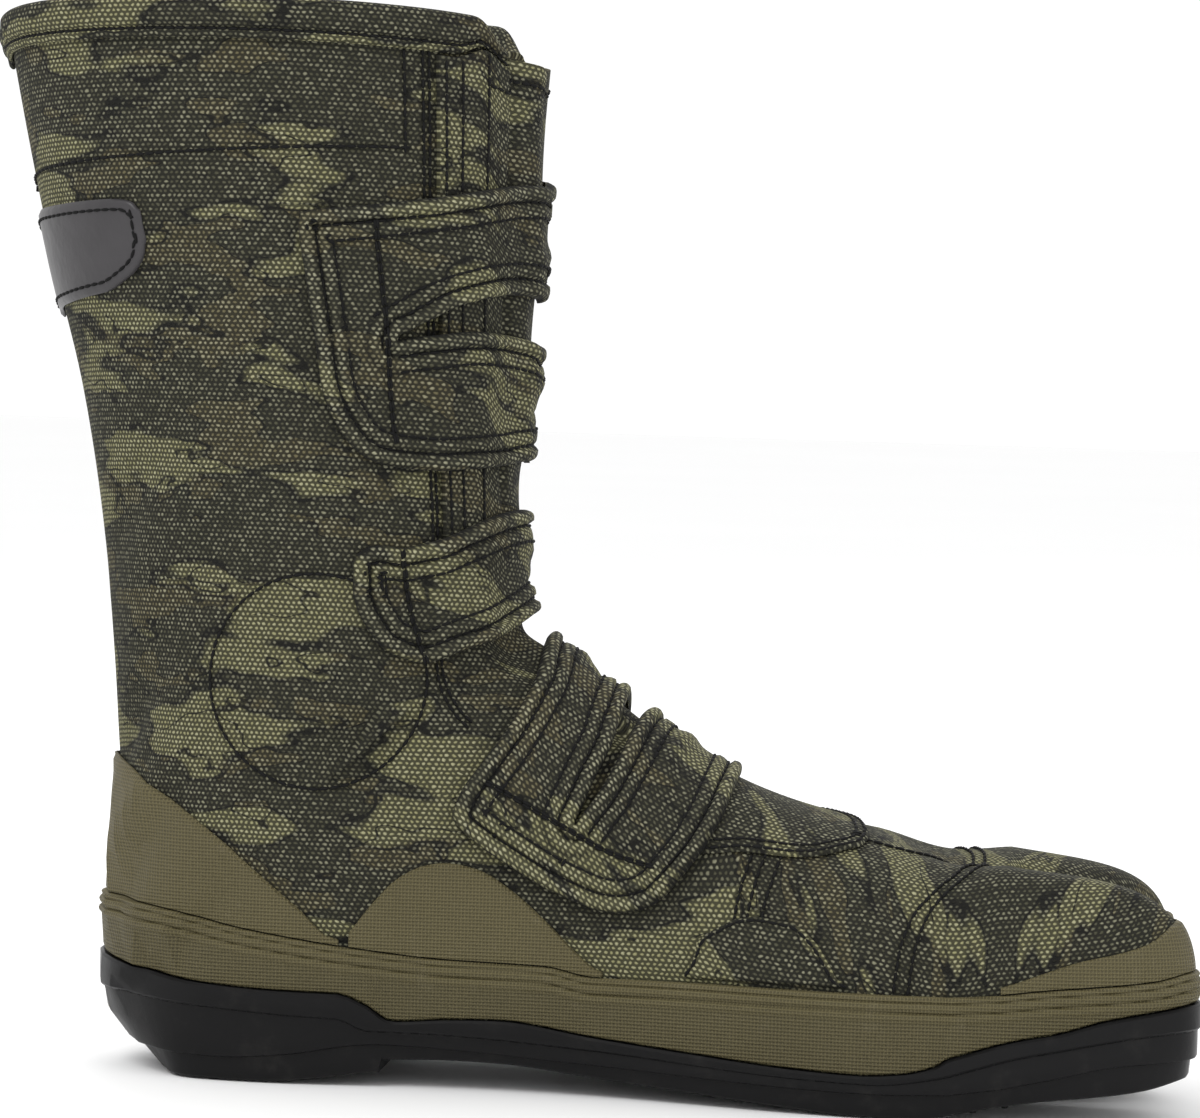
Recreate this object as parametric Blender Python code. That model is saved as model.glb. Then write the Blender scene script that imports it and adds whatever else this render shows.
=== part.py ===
"""Jika tabi, the left shoe: a split-toed canvas boot with three straps on a rubber sole.

Metres, +X to the toes, +Z up, the medial side at -Y.  The origin lies on the ground in
the middle of the face that the heel rests on.
"""
import math

import bmesh
import bpy
from mathutils import Vector
from mathutils.bvhtree import BVHTree

# Driving dimensions
LENGTH = 0.2820            # sole, heel back to big toe tip
HEEL_SETBACK = 0.0415      # heel back behind the origin
BALL_WIDTH = 0.0950        # canvas at the ball of the foot
HEEL_WIDTH = 0.0620        # canvas at the heel
SHAFT_WIDTH = 0.0930       # canvas at the collar
TOE_HEIGHT = 0.0615        # top of the toe lobes
INSTEP_HEIGHT = 0.1140     # crease at the front of the ankle
COLLAR_HEIGHT = 0.2640     # collar at the back seam
COLLAR_RISE = 0.0075       # collar higher at the sides
COLLAR_CORNER = 0.0060     # round corner of the collar at the throat
WALL = 0.0020              # two layers of canvas
GAP = 0.0004               # between pieces that lie on each other
RIDGE_GAP = 0.0007         # the same where a piece bends over the foot's ridge

# Rubber
CUP_HEIGHT = 0.0292        # black rim at the heel back
FOXING_HEIGHT = 0.0443     # top of the foxing at the heel back
FOOTBED_HEIGHT = 0.0132    # floor inside the heel
RIM_WALL = 0.0028
CUP_GAP = 0.0008           # rim to canvas, where both are round
FOXING_WALL = 0.0020
GUARD_WALL = 0.0013
HEEL_GUARD_HEIGHT = 0.0800
ARCH_GUARD_HEIGHT = 0.0580
TOE_GUARD_HEIGHT = 0.0490
STUD_HEIGHT = 0.0013
STUD_WIDTH = 0.0032
INSOLE_THICKNESS = 0.0025
INSOLE_MARGIN = 0.0012     # insole's edge inside the canvas

# Split toe
SLIT_HALF_GAP = 0.0023     # canvas to the slit's middle plane
SLIT_AIR = 0.0009          # rubber to the slit's middle plane
SLIT_ROUND = 0.0035        # round of the slit's root
SHOULDER_DROP = 0.0065     # slit's edge below the lobes' tops

# Cloth pieces
STRAP_WALL = 0.0026
GUSSET_WALL = 0.0017
PATCH_WALL = 0.0010
BINDING_WALL = 0.0013
BINDING_DEPTH = 0.0088
THROAT_COLUMNS = 2         # columns each side of the front line left open

# Sections of the upper, from the root of the slit to the collar.  Each lies in a plane
# from a front point down to a point on the feather line or back seam.  x is a share of
# LENGTH from the heel back.  A height up to 1 is a share of INSTEP_HEIGHT, and the part
# above 1 a share of the rest of COLLAR_HEIGHT.  Half widths, also at the feather end and
# of the ridge's shift, are shares of the width named first.
SECTION_COLUMNS = ("front_x", "front_h", "back_x", "back_h", "medial", "lateral",
                   "end_medial", "end_lateral", "ridge", "widest", "round_top", "round_low")
SECTIONS = (
    ("ball", .828, .548, .828, .085, .474, .484, .469, .476, -.079, .67, 2.8, 3.5),
    ("ball", .757, .572, .764, .080, .486, .519, .473, .505, -.074, .68, 2.7, 3.5),
    ("ball", .679, .602, .697, .078, .479, .530, .463, .516, -.063, .70, 2.4, 3.5),
    ("ball", .615, .645, .626, .082, .447, .505, .432, .489, -.053, .72, 2.2, 3.5),
    ("ball", .558, .706, .555, .088, .405, .468, .384, .447, -.037, .74, 2.0, 3.5),
    ("ball", .505, .789, .480, .095, .374, .432, .324, .400, -.021, .72, 1.9, 3.4),
    ("ball", .454, .880, .395, .101, .358, .398, .294, .362, -.010, .66, 1.9, 3.2),
    ("heel", .410, .956, .296, .107, .556, .581, .456, .510, 0.0, .58, 1.9, 3.0),
    ("heel", .384, .996, .183, .110, .570, .583, .489, .497, 0.0, .52, 1.9, 2.2),
    ("heel", .377, 1.023, .090, .113, .574, .581, .452, .458, 0.0, .49, 2.0, 1.5),
    ("heel", .374, 1.047, .0426, .115, .577, .579, .318, .318, 0.0, .47, 2.0, 1.25),
    ("heel", .372, 1.073, .0200, .117, .580, .580, .158, .158, 0.0, .46, 2.0, 1.35),
    ("heel", .370, 1.100, .0115, .119, .585, .585, 0.0, 0.0, 0.0, .45, 2.0, 2.1),
    ("heel", .367, 1.137, .0089, .290, .590, .590, 0.0, 0.0, 0.0, .45, 2.0, 2.1),
    ("heel", .365, 1.187, .0089, .482, .598, .598, 0.0, 0.0, 0.0, .45, 2.0, 2.1),
    ("heel", .364, 1.253, .0103, .702, .612, .612, 0.0, 0.0, 0.0, .45, 2.0, 2.0),
    ("shaft", .363, 1.333, .0020, .982, .420, .420, 0.0, 0.0, 0.0, .46, 2.0, 2.0),
    ("shaft", .363, 1.433, -.0117, 1.200, .434, .434, 0.0, 0.0, 0.0, .46, 2.0, 2.0),
    ("shaft", .364, 1.547, -.0319, 1.400, .453, .453, 0.0, 0.0, 0.0, .46, 2.0, 2.0),
    ("shaft", .366, 1.680, -.0596, 1.593, .473, .473, 0.0, 0.0, 0.0, .47, 2.0, 2.0),
    ("shaft", .368, 1.833, -.0851, 1.800, .489, .489, 0.0, 0.0, 0.0, .47, 2.0, 2.0),
    ("shaft", .368, 1.995, -.1074, 2.000, .500, .500, 0.0, 0.0, 0.0, .47, 2.0, 2.0),
)
ROOT = 0                   # section at the root of the slit
BLEND_END = 1.7            # behind this section the two lobes no longer show
BACK = 12                  # first section that ends on the back seam
COLLAR = len(SECTIONS) - 1
THROAT_FOOT = 14           # lowest section with the throat open

# The two toe lobes from the slit's root to their tips.  x is a share of LENGTH, widths
# of BALL_WIDTH, heights of TOE_HEIGHT.  The outer wall runs along a line that closes on
# the lobe's axis at the tip; the powers set how blunt the tip is.
LOBE_COLUMNS = ("tip_x", "tip_y", "axis_y", "outer_y", "outer_end", "top", "top_end",
                "outer_power", "inner_power", "top_power")
LOBES = {
    -1: (.9930, -.263, -.286, -.469, -.432, 1.00, .930, 2.6, 3.0, 4.5),
    1: (.9780, .126, .210, .476, .379, 1.00, .930, 2.2, 2.6, 5.0),
}
SLIT_Y = -.079             # share of BALL_WIDTH
LOBE_ROUND = 2.6           # power of a lobe's section

# Lines along the foot: x share of LENGTH, height share of the size named beside it
FOOTBED = ((0.0, 1.00), (.147, .94), (.29, .91), (.466, .80), (.61, .70), (.732, .65),
           (.82, .74), (.91, .95), (1.0, 1.35))                      # FOOTBED_HEIGHT
CUP_TOP = ((0.0, 1.00), (.053, .925), (.106, .856), (.182, .815), (.235, .808),
           (.260, .72), (.285, .585), (.337, .62), (.381, .63), (.473, .525), (.566, .44),
           (.654, .377), (.707, .36), (.745, .385), (.770, .445), (.788, .55), (.813, .624),
           (.848, .712), (.881, .777), (.917, .88), (.970, .976), (1.0, 1.02))  # CUP_HEIGHT
FOXING_TOP = ((0.0, 1.00), (.058, .98), (.154, .88), (.245, .80), (.334, .752),
              (.425, .738), (.471, .690), (.562, .695), (.697, .697), (.784, .690),
              (.872, .747), (.960, .80), (1.0, .85))                 # FOXING_HEIGHT
SOLE_STEP = ((0.0, .24), (.058, .232), (.130, .216), (.184, .257), (.259, .373),
             (.275, .38), (.45, .30), (.72, .215), (.784, .23), (.866, .377),
             (.936, .517), (1.0, .55))                               # CUP_HEIGHT
HEEL_BOTTOM = ((0.0, 0.0), (.16, 0.0), (.221, .051), (.2727, .12))   # CUP_HEIGHT
FORE_BOTTOM = ((.2755, .233), (.332, .245), (.381, .236), (.473, .157), (.566, .089),
               (.654, .027), (.705, 0.0), (.764, 0.0), (.785, .04), (.821, .116),
               (.874, .192), (.920, .236), (.956, .284), (1.0, .37))  # CUP_HEIGHT
LOBE_GUARD_DROP = .05      # small lobe's guard lower by this share
BREAST = .2741             # x share of the heel's front face
HEEL_GUARD_TOP = ((0.0, 1.0), (.036, .972), (.105, .828), (.151, .701), (.198, .565),
                  (.232, .468))                                      # HEEL_GUARD_HEIGHT
ARCH_GUARD_TOP = ((.236, .655), (.262, .797), (.2865, .921), (.3135, .986),
                  (.331, .998), (.3585, .976), (.395, .876), (.4326, .724),
                  (.4606, .60), (.478, .552))                        # ARCH_GUARD_HEIGHT
TOE_GUARD_TOP = ((.796, .65), (.828, .684), (.864, .757), (.897, .822), (.933, .868),
                 (.960, .918), (.985, 1.00), (1.0, 1.02))            # TOE_GUARD_HEIGHT

COLORS = {
    "canvas": ((.105, .105, .062), .90),
    "canvas_dark": ((.070, .072, .048), .90),
    "olive_rubber": ((.145, .120, .062), .62),
    "black_rubber": ((.012, .012, .013), .50),
    "grey_tape": ((.090, .084, .090), .38),
    "insole_cloth": ((.050, .050, .045), .95),
}


# Scene and materials
for old in list(bpy.data.objects):
    bpy.data.objects.remove(old, do_unlink=True)
SHOE = bpy.data.collections.new("jika_tabi")
bpy.context.scene.collection.children.link(SHOE)


def material(name, finish):
    """One Principled material for each piece, from a named finish."""
    color, roughness = COLORS[finish]
    mat = bpy.data.materials.new(name)
    mat.use_nodes = True
    shader = mat.node_tree.nodes["Principled BSDF"]
    shader.inputs["Base Color"].default_value = (*color, 1.0)
    shader.inputs["Roughness"].default_value = roughness
    shader.inputs["Metallic"].default_value = 0.0
    return mat


# Curves through short tables
def curve(table, x):
    """Smooth value at x through (x, value) rows, without overshoot."""
    if x <= table[0][0]:
        return table[0][1]
    if x >= table[-1][0]:
        return table[-1][1]
    i = max(k for k in range(len(table) - 1) if table[k][0] <= x)

    def slope(k):
        if k in (0, len(table) - 1):
            return 0.0
        before = (table[k][1] - table[k - 1][1]) / (table[k][0] - table[k - 1][0])
        after = (table[k + 1][1] - table[k][1]) / (table[k + 1][0] - table[k][0])
        return 0.0 if before * after <= 0 else 2 * before * after / (before + after)

    (x0, y0), (x1, y1) = table[i], table[i + 1]
    span = x1 - x0
    t = (x - x0) / span
    return ((2 * t**3 - 3 * t**2 + 1) * y0 + (t**3 - 2 * t**2 + t) * span * slope(i)
            + (3 * t**2 - 2 * t**3) * y1 + (t**3 - t**2) * span * slope(i + 1))


def smooth(t):
    """Ease from 0 to 1."""
    t = min(max(t, 0.0), 1.0)
    return t * t * (3 - 2 * t)


def at_length(share):
    return share * LENGTH - HEEL_SETBACK


def share_of(x):
    return (x + HEEL_SETBACK) / LENGTH


def at_height(h):
    if h <= 1:
        return h * INSTEP_HEIGHT
    return INSTEP_HEIGHT + (h - 1) * (COLLAR_HEIGHT - INSTEP_HEIGHT)


def footbed(x):
    return FOOTBED_HEIGHT * curve(FOOTBED, share_of(x))


def feather(x):
    return footbed(x) + GAP


# Upper: the form that every other piece is fitted to
def real_section(index):
    """A section row in metres."""
    width = {"ball": BALL_WIDTH, "heel": HEEL_WIDTH, "shaft": SHAFT_WIDTH}[SECTIONS[index][0]]
    row = dict(zip(SECTION_COLUMNS, SECTIONS[index][1:]))
    for name in ("medial", "lateral", "end_medial", "end_lateral", "ridge"):
        row[name] *= width
    for name in ("front", "back"):
        row[name + "_x"] = at_length(row[name + "_x"])
        row[name + "_h"] = at_height(row[name + "_h"])
    return row


REAL = [real_section(i) for i in range(len(SECTIONS))]


def section(u):
    """The section at a whole or broken index u, by a cubic through the rows."""
    i = min(int(u), COLLAR - 1)
    t = u - i
    rows = [REAL[min(max(k, 0), COLLAR)] for k in (i - 1, i, i + 1, i + 2)]
    if t == 0:
        return dict(rows[1])
    weights = (-.5 * t + t**2 - .5 * t**3, 1 - 2.5 * t**2 + 1.5 * t**3,
               .5 * t + 2 * t**2 - 1.5 * t**3, -.5 * t**2 + .5 * t**3)
    return {c: sum(w * row[c] for w, row in zip(weights, rows)) for c in SECTION_COLUMNS}


LOW_PART = .4              # share of a half section's columns that lies below its widest
LOW_ROUND = 2.1            # power of a section's lower part along its plane
RISE_ROUND = .25           # power of the collar's rise over its sides
CORNER_PLACE = (.78, .08)  # where the collar's round corner starts, and its span
WALL_LEAN = .8             # how far the slit's walls follow the lobes' round
FLAT_END = .45             # feather width, as a share of HEEL_WIDTH, that is still foot


def lobe_top(side, s):
    lobe = dict(zip(LOBE_COLUMNS, LOBES[side]))
    line = lobe["top"] + (lobe["top_end"] - lobe["top"]) * s
    return TOE_HEIGHT * line, max(1 - s ** lobe["top_power"], 0) ** (1 / lobe["top_power"])


def lobe_point(side, s, w, inset=0.0):
    """Point of a toe lobe: s 0 at the slit's root, 1 at the tip; w 0 at the outer
    feather, 1 at the slit's edge, 2 at the foot of the slit's wall."""
    lobe = dict(zip(LOBE_COLUMNS, LOBES[side]))
    root_x = at_length(SECTIONS[ROOT][3]) - inset
    tip_x = at_length(lobe["tip_x"]) - inset
    x = root_x + (tip_x - root_x) * s
    axis = BALL_WIDTH * (lobe["axis_y"] + (lobe["tip_y"] - lobe["axis_y"]) * s)
    outer_line = BALL_WIDTH * (lobe["outer_y"] + (lobe["outer_end"] - lobe["outer_y"]) * s)
    outer_close = max(1 - s ** lobe["outer_power"], 0) ** (1 / lobe["outer_power"])
    inner_close = max(1 - s ** lobe["inner_power"], 0) ** (1 / lobe["inner_power"])
    opening = min((x - root_x) / SLIT_ROUND, 1.0)
    opened = math.sqrt(max(1 - (1 - opening) ** 2, 0))
    wall = BALL_WIDTH * SLIT_Y + side * (SLIT_HALF_GAP + inset) * opened
    outer = axis + (outer_line - side * inset - axis) * outer_close
    inner = axis + (wall - axis) * inner_close
    floor = feather(x)
    top, close = lobe_top(side, s)
    height = (top - inset - floor) * close
    drop = (height - SHOULDER_DROP * close) / height if height > 1e-6 else .85
    edge_angle = math.pi - math.asin(max(drop, .2) ** (LOBE_ROUND / 2))
    if w <= 1:
        angle = w * edge_angle
        rise = math.sin(angle) ** (2 / LOBE_ROUND)
    else:
        rise = drop * (2 - w)
        angle = math.pi - math.asin(max(rise, 0) ** (LOBE_ROUND / 2))
    across = abs(math.cos(angle)) ** (2 / LOBE_ROUND)
    if angle <= math.pi / 2:
        y = axis + (outer - axis) * across
    else:
        edge_across = abs(math.cos(edge_angle)) ** (2 / LOBE_ROUND)
        closed = min(across / edge_across, 1.0)
        y = axis + (inner - axis) * (closed + (across - closed) * opened * WALL_LEAN)
    return Vector((x, y, floor + height * rise))


def form(u, side, w, inset=0.0):
    """Point of the upper: u along the sections, side -1 medial or 1 lateral, w 0 at the
    feather line or back seam and 1 at the front line; inset moves it inwards."""
    row = section(u)
    widest_y, end_y = ((row["medial"], row["end_medial"]) if side < 0
                       else (row["lateral"], row["end_lateral"]))
    on_foot = min(end_y / (HEEL_WIDTH * FLAT_END), 1.0)
    front = Vector((row["front_x"], 0, row["front_h"]))
    back = Vector((row["back_x"], 0, row["back_h"]))
    if u < BACK:
        lift = smooth(u - (BACK - 1))
        back.z = feather(back.x) * (1 - lift) + back.z * lift
    along = (back - front).normalized()
    front += along * inset
    back -= along * inset * (1 - on_foot)
    widest_y -= inset
    end_y = max(end_y - inset, 0.0)
    if w <= LOW_PART:
        a = w / LOW_PART * math.pi / 2
        v = row["widest"] + (1 - row["widest"]) * math.cos(a) ** (2 / LOW_ROUND)
        y = side * (end_y + (widest_y - end_y) * math.sin(a) ** (2 / row["round_low"]))
    else:
        a = (w - LOW_PART) / (1 - LOW_PART) * math.pi / 2
        v = row["widest"] * (1 - math.sin(a) ** (2 / row["round_top"]))
        across = max(math.cos(a), 0.0) ** (2 / row["round_top"])
        y = row["ridge"] + (side * widest_y - row["ridge"]) * across
    point = front + (back - front) * v
    point.y = y
    rise = smooth((u - BACK) / (COLLAR - BACK)) * COLLAR_RISE
    point.z += rise * math.sin(math.pi * min(max(v, 0), 1)) ** RISE_ROUND
    corner = smooth((w - CORNER_PLACE[0]) / CORNER_PLACE[1])
    point.z -= COLLAR_CORNER * smooth(u - COLLAR + 1) * corner
    if u < BLEND_END:
        share = smooth((BLEND_END - u) / (BLEND_END - ROOT))
        lobe = lobe_point(side, 0.0, w, inset)
        lobe.x = point.x - inset * (1 - u / BLEND_END)
        point = point.lerp(lobe, share)
    return point


COLUMNS = 14               # columns of half a section
WALL_COLUMNS = 3           # rows down the slit's wall
LOBE_ROWS = 9


def lobe_stations(count):
    """Shares along a lobe: one where the slit's round ends, then closer to the tip."""
    first, last, power = .085, .985, 1.15
    return [first + (last - first) * math.sin(k / (count - 1) * math.pi / 2) ** power
            for k in range(count)]


def upper_grid(inset):
    """Points and quads of the upper's surface, with the slit open between the lobes."""
    points, faces, index = [], [], {}

    def put(key, point):
        if key not in index:
            index[key] = len(points)
            points.append(point)
        return index[key]

    def body(u, j):
        side = -1 if j < COLUMNS else 1
        w = j / COLUMNS if j <= COLUMNS else (2 * COLUMNS - j) / COLUMNS
        if u >= BACK and w == 0:
            return put(("back", u), form(u, side, 0.0, inset))
        return put(("body", u, j), form(u, side, w, inset))

    for u in range(COLLAR):
        for j in range(2 * COLUMNS):
            open_throat = u >= THROAT_FOOT and abs(j + .5 - COLUMNS) < THROAT_COLUMNS
            if not open_throat:
                quad = [body(u, j), body(u, j + 1), body(u + 1, j + 1), body(u + 1, j)]
                faces.append(tuple(dict.fromkeys(quad)))

    stations = lobe_stations(LOBE_ROWS)
    for side in (-1, 1):
        def lobe(row, j):
            if row == 0:
                if j <= COLUMNS:
                    return body(0, j if side < 0 else 2 * COLUMNS - j)
                w = 1 + (j - COLUMNS) / WALL_COLUMNS
                return put(("root", j), lobe_point(-1, 0.0, w, inset))
            w = j / COLUMNS if j <= COLUMNS else 1 + (j - COLUMNS) / WALL_COLUMNS
            return put(("lobe", side, row, j), lobe_point(side, stations[row - 1], w, inset))

        last = COLUMNS + WALL_COLUMNS
        tip = put(("tip", side), lobe_point(side, 1.0, 0.0, inset))
        for row in range(LOBE_ROWS):
            for j in range(last):
                quad = (lobe(row, j), lobe(row + 1, j), lobe(row + 1, j + 1), lobe(row, j + 1))
                faces.append(quad if side < 0 else quad[::-1])
        for j in range(last):
            fan = (lobe(LOBE_ROWS, j), tip, lobe(LOBE_ROWS, j + 1))
            faces.append(fan if side < 0 else fan[::-1])
    return points, faces


def link(name, bm, finish):
    """Close a bmesh off as a named object with its faces pointing out."""
    bmesh.ops.recalc_face_normals(bm, faces=bm.faces)
    if bm.calc_volume(signed=True) < 0:
        bmesh.ops.reverse_faces(bm, faces=bm.faces)
    bmesh.ops.triangulate(bm, faces=bm.faces)
    mesh = bpy.data.meshes.new(name)
    bm.to_mesh(mesh)
    bm.free()
    piece = bpy.data.objects.new(name, mesh)
    mesh.materials.append(material(name, finish))
    mesh.shade_smooth()
    mesh.set_sharp_from_angle(angle=math.radians(40))
    SHOE.objects.link(piece)
    return piece


def thick(name, outer, inner, faces, finish):
    """A closed solid between two matching surfaces, with a rim on every open edge."""
    bm = bmesh.new()
    far = [bm.verts.new(p) for p in outer]
    near = [bm.verts.new(p) for p in inner]
    edges = {}
    for face in faces:
        bm.faces.new([far[k] for k in face])
        bm.faces.new([near[k] for k in reversed(face)])
        for a, b in zip(face, face[1:] + face[:1]):
            edges[(a, b)] = True
    for a, b in edges:
        if (b, a) not in edges:
            bm.faces.new((far[b], far[a], near[a], near[b]))
    bmesh.ops.delete(bm, geom=[v for v in bm.verts if not v.link_faces], context="VERTS")
    return link(name, bm, finish)


OUTER_POINTS, OUTER_FACES = upper_grid(0.0)
INNER_POINTS, _ = upper_grid(WALL)
thick("upper", OUTER_POINTS, INNER_POINTS, OUTER_FACES, "canvas")

# What is laid on the upper is found on its outer surface
OUTER_TREE = BVHTree.FromPolygons([tuple(p) for p in OUTER_POINTS], OUTER_FACES)


# Patches laid on the upper's surface
SEARCH = 0.0060            # the surface is looked for this far off the smooth form


def on_form(u, c):
    """Point and outward normal at section u and place c round it, -1 medial end to 0
    front to 1 lateral end."""
    def at(uu, cc):
        if abs(cc) > 1 and u > BACK:
            cc -= math.copysign(2, cc)
        side = -1 if cc < 0 else 1
        return form(min(max(uu, 0), COLLAR), side, 1 - min(abs(cc), 1.0))
    step = .02
    point = at(u, c)
    du = at(u + step, c) - at(u - step, c)
    dc = at(u, c + step) - at(u, c - step)
    normal = dc.cross(du).normalized()
    hit, _, _, _ = OUTER_TREE.ray_cast(point + normal * SEARCH, -normal, 2 * SEARCH)
    return (hit if hit is not None else point), normal


def patch(name, rows, columns, place, gap, wall, finish, keep=None):
    """A sheet on the upper; place(i, j) gives u and c, and gap is a value or a
    function of them."""
    outer, inner, faces = [], [], []
    for i in range(rows + 1):
        for j in range(columns + 1):
            u, c = place(i, j)
            point, normal = on_form(u, c)
            lift = gap(u, c) if callable(gap) else gap
            inner.append(point + normal * lift)
            outer.append(point + normal * (lift + wall))
    for i in range(rows):
        for j in range(columns):
            if keep is None or keep(i, j):
                a = i * (columns + 1) + j
                faces.append((a, a + 1, a + columns + 2, a + columns + 1))
    return thick(name, outer, inner, faces, finish)


# Straps: for each place c from the tab's end over the front to the far side, the section
# of the lower and upper edge, and of the slot between two fingers
STRAP_TOP = (
    (-.556, 18.00, 19.00, 17.90, 17.90), (-.550, 17.36, 19.10, 17.80, 17.80),
    (-.526, 16.88, 19.12, 17.75, 17.75), (-.472, 16.40, 19.13, 17.70, 17.70),
    (-.394, 16.08, 19.16, 17.66, 17.72), (-.280, 15.76, 19.24, 17.66, 17.98),
    (-.100, 15.48, 19.42, 17.56, 18.12), (.040, 15.50, 19.52, 17.46, 18.14),
    (.200, 15.60, 19.42, 17.48, 18.08), (.500, 15.80, 19.30, 17.52, 17.98))
STRAP_MIDDLE = (
    (-.510, 14.70, 15.20), (-.500, 14.45, 15.27), (-.480, 14.05, 15.28),
    (-.450, 13.45, 15.20), (-.394, 12.56, 14.92), (-.304, 11.04, 14.70),
    (-.172, 9.30, 14.55), (-.060, 9.05, 14.40), (.060, 9.15, 14.35), (.200, 9.90, 14.50),
    (.320, 11.20, 14.70), (.480, 12.60, 14.95))
STRAP_INSTEP = (
    (-.526, 5.95, 6.85, 6.30, 6.30), (-.518, 5.45, 7.20, 6.20, 6.20),
    (-.496, 4.96, 7.42, 6.05, 6.05), (-.460, 4.56, 7.44, 5.95, 5.95),
    (-.400, 4.25, 7.34, 5.82, 5.84), (-.310, 3.90, 7.18, 5.58, 5.72),
    (-.200, 3.68, 7.12, 5.42, 5.60), (-.060, 3.60, 7.32, 5.32, 5.60),
    (.060, 3.64, 7.40, 5.28, 5.64), (.200, 3.80, 7.34, 5.28, 5.62), (.420, 4.20, 7.26, 5.32, 5.58))

# Gusset: lift of its outer face above the upper at its edges and at the front fold
GUSSET = ((11.4, .0021, .0021), (15.0, .0021, .0025), (16.6, .0021, .0046),
          (19.5, .0021, .0052), (20.92, .0021, .0062))
GUSSET_EDGE = .305         # c where it is sewn on
GUSSET_FOLD = .115         # c of the crease beside the throat
FOLD_DEPTH = .0013
FOLD_SPAN = .024           # half the crease's width
BULGE_SPAN = .075          # over which the sheet rises from its edge to its front
STRAP_STEP = (.055, .045)  # beyond the gusset's edge where a strap starts to rise; its span


def bulge(u, c):
    """Lift of the gusset's outer face, without its crease."""
    edge = curve([(row[0], row[1]) for row in GUSSET], u)
    front = curve([(row[0], row[2]) for row in GUSSET], u)
    return edge + (front - edge) * smooth((GUSSET_FOLD - abs(c)) / BULGE_SPAN)


def over_gusset(u, c):
    """Lift of a strap's inner face: on the canvas at its ends, on the gusset between."""
    covered = smooth((GUSSET_EDGE + STRAP_STEP[0] - abs(c)) / STRAP_STEP[1])
    return GAP + (bulge(u, c) + GAP) * covered


def over_vamp(u, c):
    return RIDGE_GAP + PATCH_WALL + GAP


def strap(name, table, gap, across=3, along=22):
    """A strap with its tab end rounded by the table's first rows, in one or two fingers."""
    fingers = len(table[0]) == 5
    rows = 2 * across + 1 if fingers else across + 1
    first, last = table[0][0], table[-1][0]
    slot_start = next((row[0] for row in table if fingers and row[4] > row[3]), last)

    def edges(c):
        return [curve([(row[0], row[k]) for row in table], c) for k in range(1, len(table[0]))]

    def at(j):
        return first + (last - first) * (j / along) ** 1.25

    def place(i, j):
        c = at(j)
        edge = edges(c)
        if not fingers:
            return edge[0] + (edge[1] - edge[0]) * i / rows, c
        if i <= across:
            return edge[0] + (edge[2] - edge[0]) * i / across, c
        middle = edge[3] + (.02 if edge[3] <= edge[2] else 0)
        return middle + (edge[1] - middle) * (i - across - 1) / across, c

    def keep(i, j):
        return not fingers or i != across or at(j + 1) <= slot_start + .001

    patch(name, rows, along, place, gap, STRAP_WALL, "canvas_dark", keep)


strap("strap_top", STRAP_TOP, over_gusset)
strap("strap_middle", STRAP_MIDDLE, over_gusset, across=4)
strap("strap_instep", STRAP_INSTEP, over_vamp)


# Collar binding: a channel over the canvas edge, from one side of the throat round the
# back to the other
def binding_depth(w):
    return BINDING_DEPTH - (BINDING_DEPTH - .0030) * smooth((w - .72) / .13)


def collar_frame(side, w):
    """Edge point, outward normal and upward direction of the canvas at the collar."""
    step = .03
    top = form(COLLAR, side, w)
    up = (top - form(COLLAR - .3, side, w)).normalized()
    if w == 0:
        span = Vector((0, 1, 0))
    else:
        span = form(COLLAR, side, min(w + step, 1)) - form(COLLAR, side, max(w - step, 0))
    normal = span.cross(up).normalized()
    if normal.x * top.x + normal.y * top.y < 0:
        normal = -normal
    return top, normal, up


def collar_binding():
    outer = GAP + BINDING_WALL
    inner = -WALL - GAP
    bm = bmesh.new()
    rings = []
    path = [(-1, j / COLUMNS) for j in range(COLUMNS - THROAT_COLUMNS, -1, -1)]
    path += [(1, j / COLUMNS) for j in range(1, COLUMNS - THROAT_COLUMNS + 1)]
    for side, w in path:
        top, normal, up = collar_frame(side, w)
        low = -binding_depth(w)
        profile = ((outer, low), (outer, 0.0), (-WALL / 2 + .0012, outer),
                   (-WALL / 2 - .0012, outer), (inner - BINDING_WALL, 0.0),
                   (inner - BINDING_WALL, low), (inner, low), (inner, GAP), (GAP, GAP),
                   (GAP, low))
        rings.append([bm.verts.new(top + normal * n + up * h) for n, h in profile])
    for one, two in zip(rings, rings[1:]):
        for k in range(len(one)):
            m = (k + 1) % len(one)
            bm.faces.new((one[k], one[m], two[m], two[k]))
    bm.faces.new(rings[0])
    bm.faces.new(rings[-1][::-1])
    link("collar_binding", bm, "canvas_dark")


collar_binding()


# Gusset: one folded sheet over both edges of the throat
def gusset():
    along, across = 10, 22
    foot = GUSSET[0][0]

    def top_at(c):
        if abs(c) < GUSSET_FOLD + .005:
            return GUSSET[-1][0]
        side = -1 if c < 0 else 1
        w = 1 - abs(c)
        low, high = COLLAR - 1, COLLAR
        for _ in range(20):
            middle = (low + high) / 2
            drop = (form(COLLAR, side, w) - form(middle, side, w)).length
            if drop > binding_depth(w) + 3 * GAP:
                low = middle
            else:
                high = middle
        return low

    def place(i, j):
        c = -GUSSET_EDGE + 2 * GUSSET_EDGE * j / across
        return foot + (top_at(c) - foot) * i / along, c

    def gap(u, c):
        crease = FOLD_DEPTH * smooth(1 - abs(abs(c) - GUSSET_FOLD) / FOLD_SPAN)
        return bulge(u, c) - crease * smooth(u - THROAT_FOOT - .2) - GUSSET_WALL

    patch("gusset", along, across, place, gap, GUSSET_WALL, "canvas")


gusset()


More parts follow.
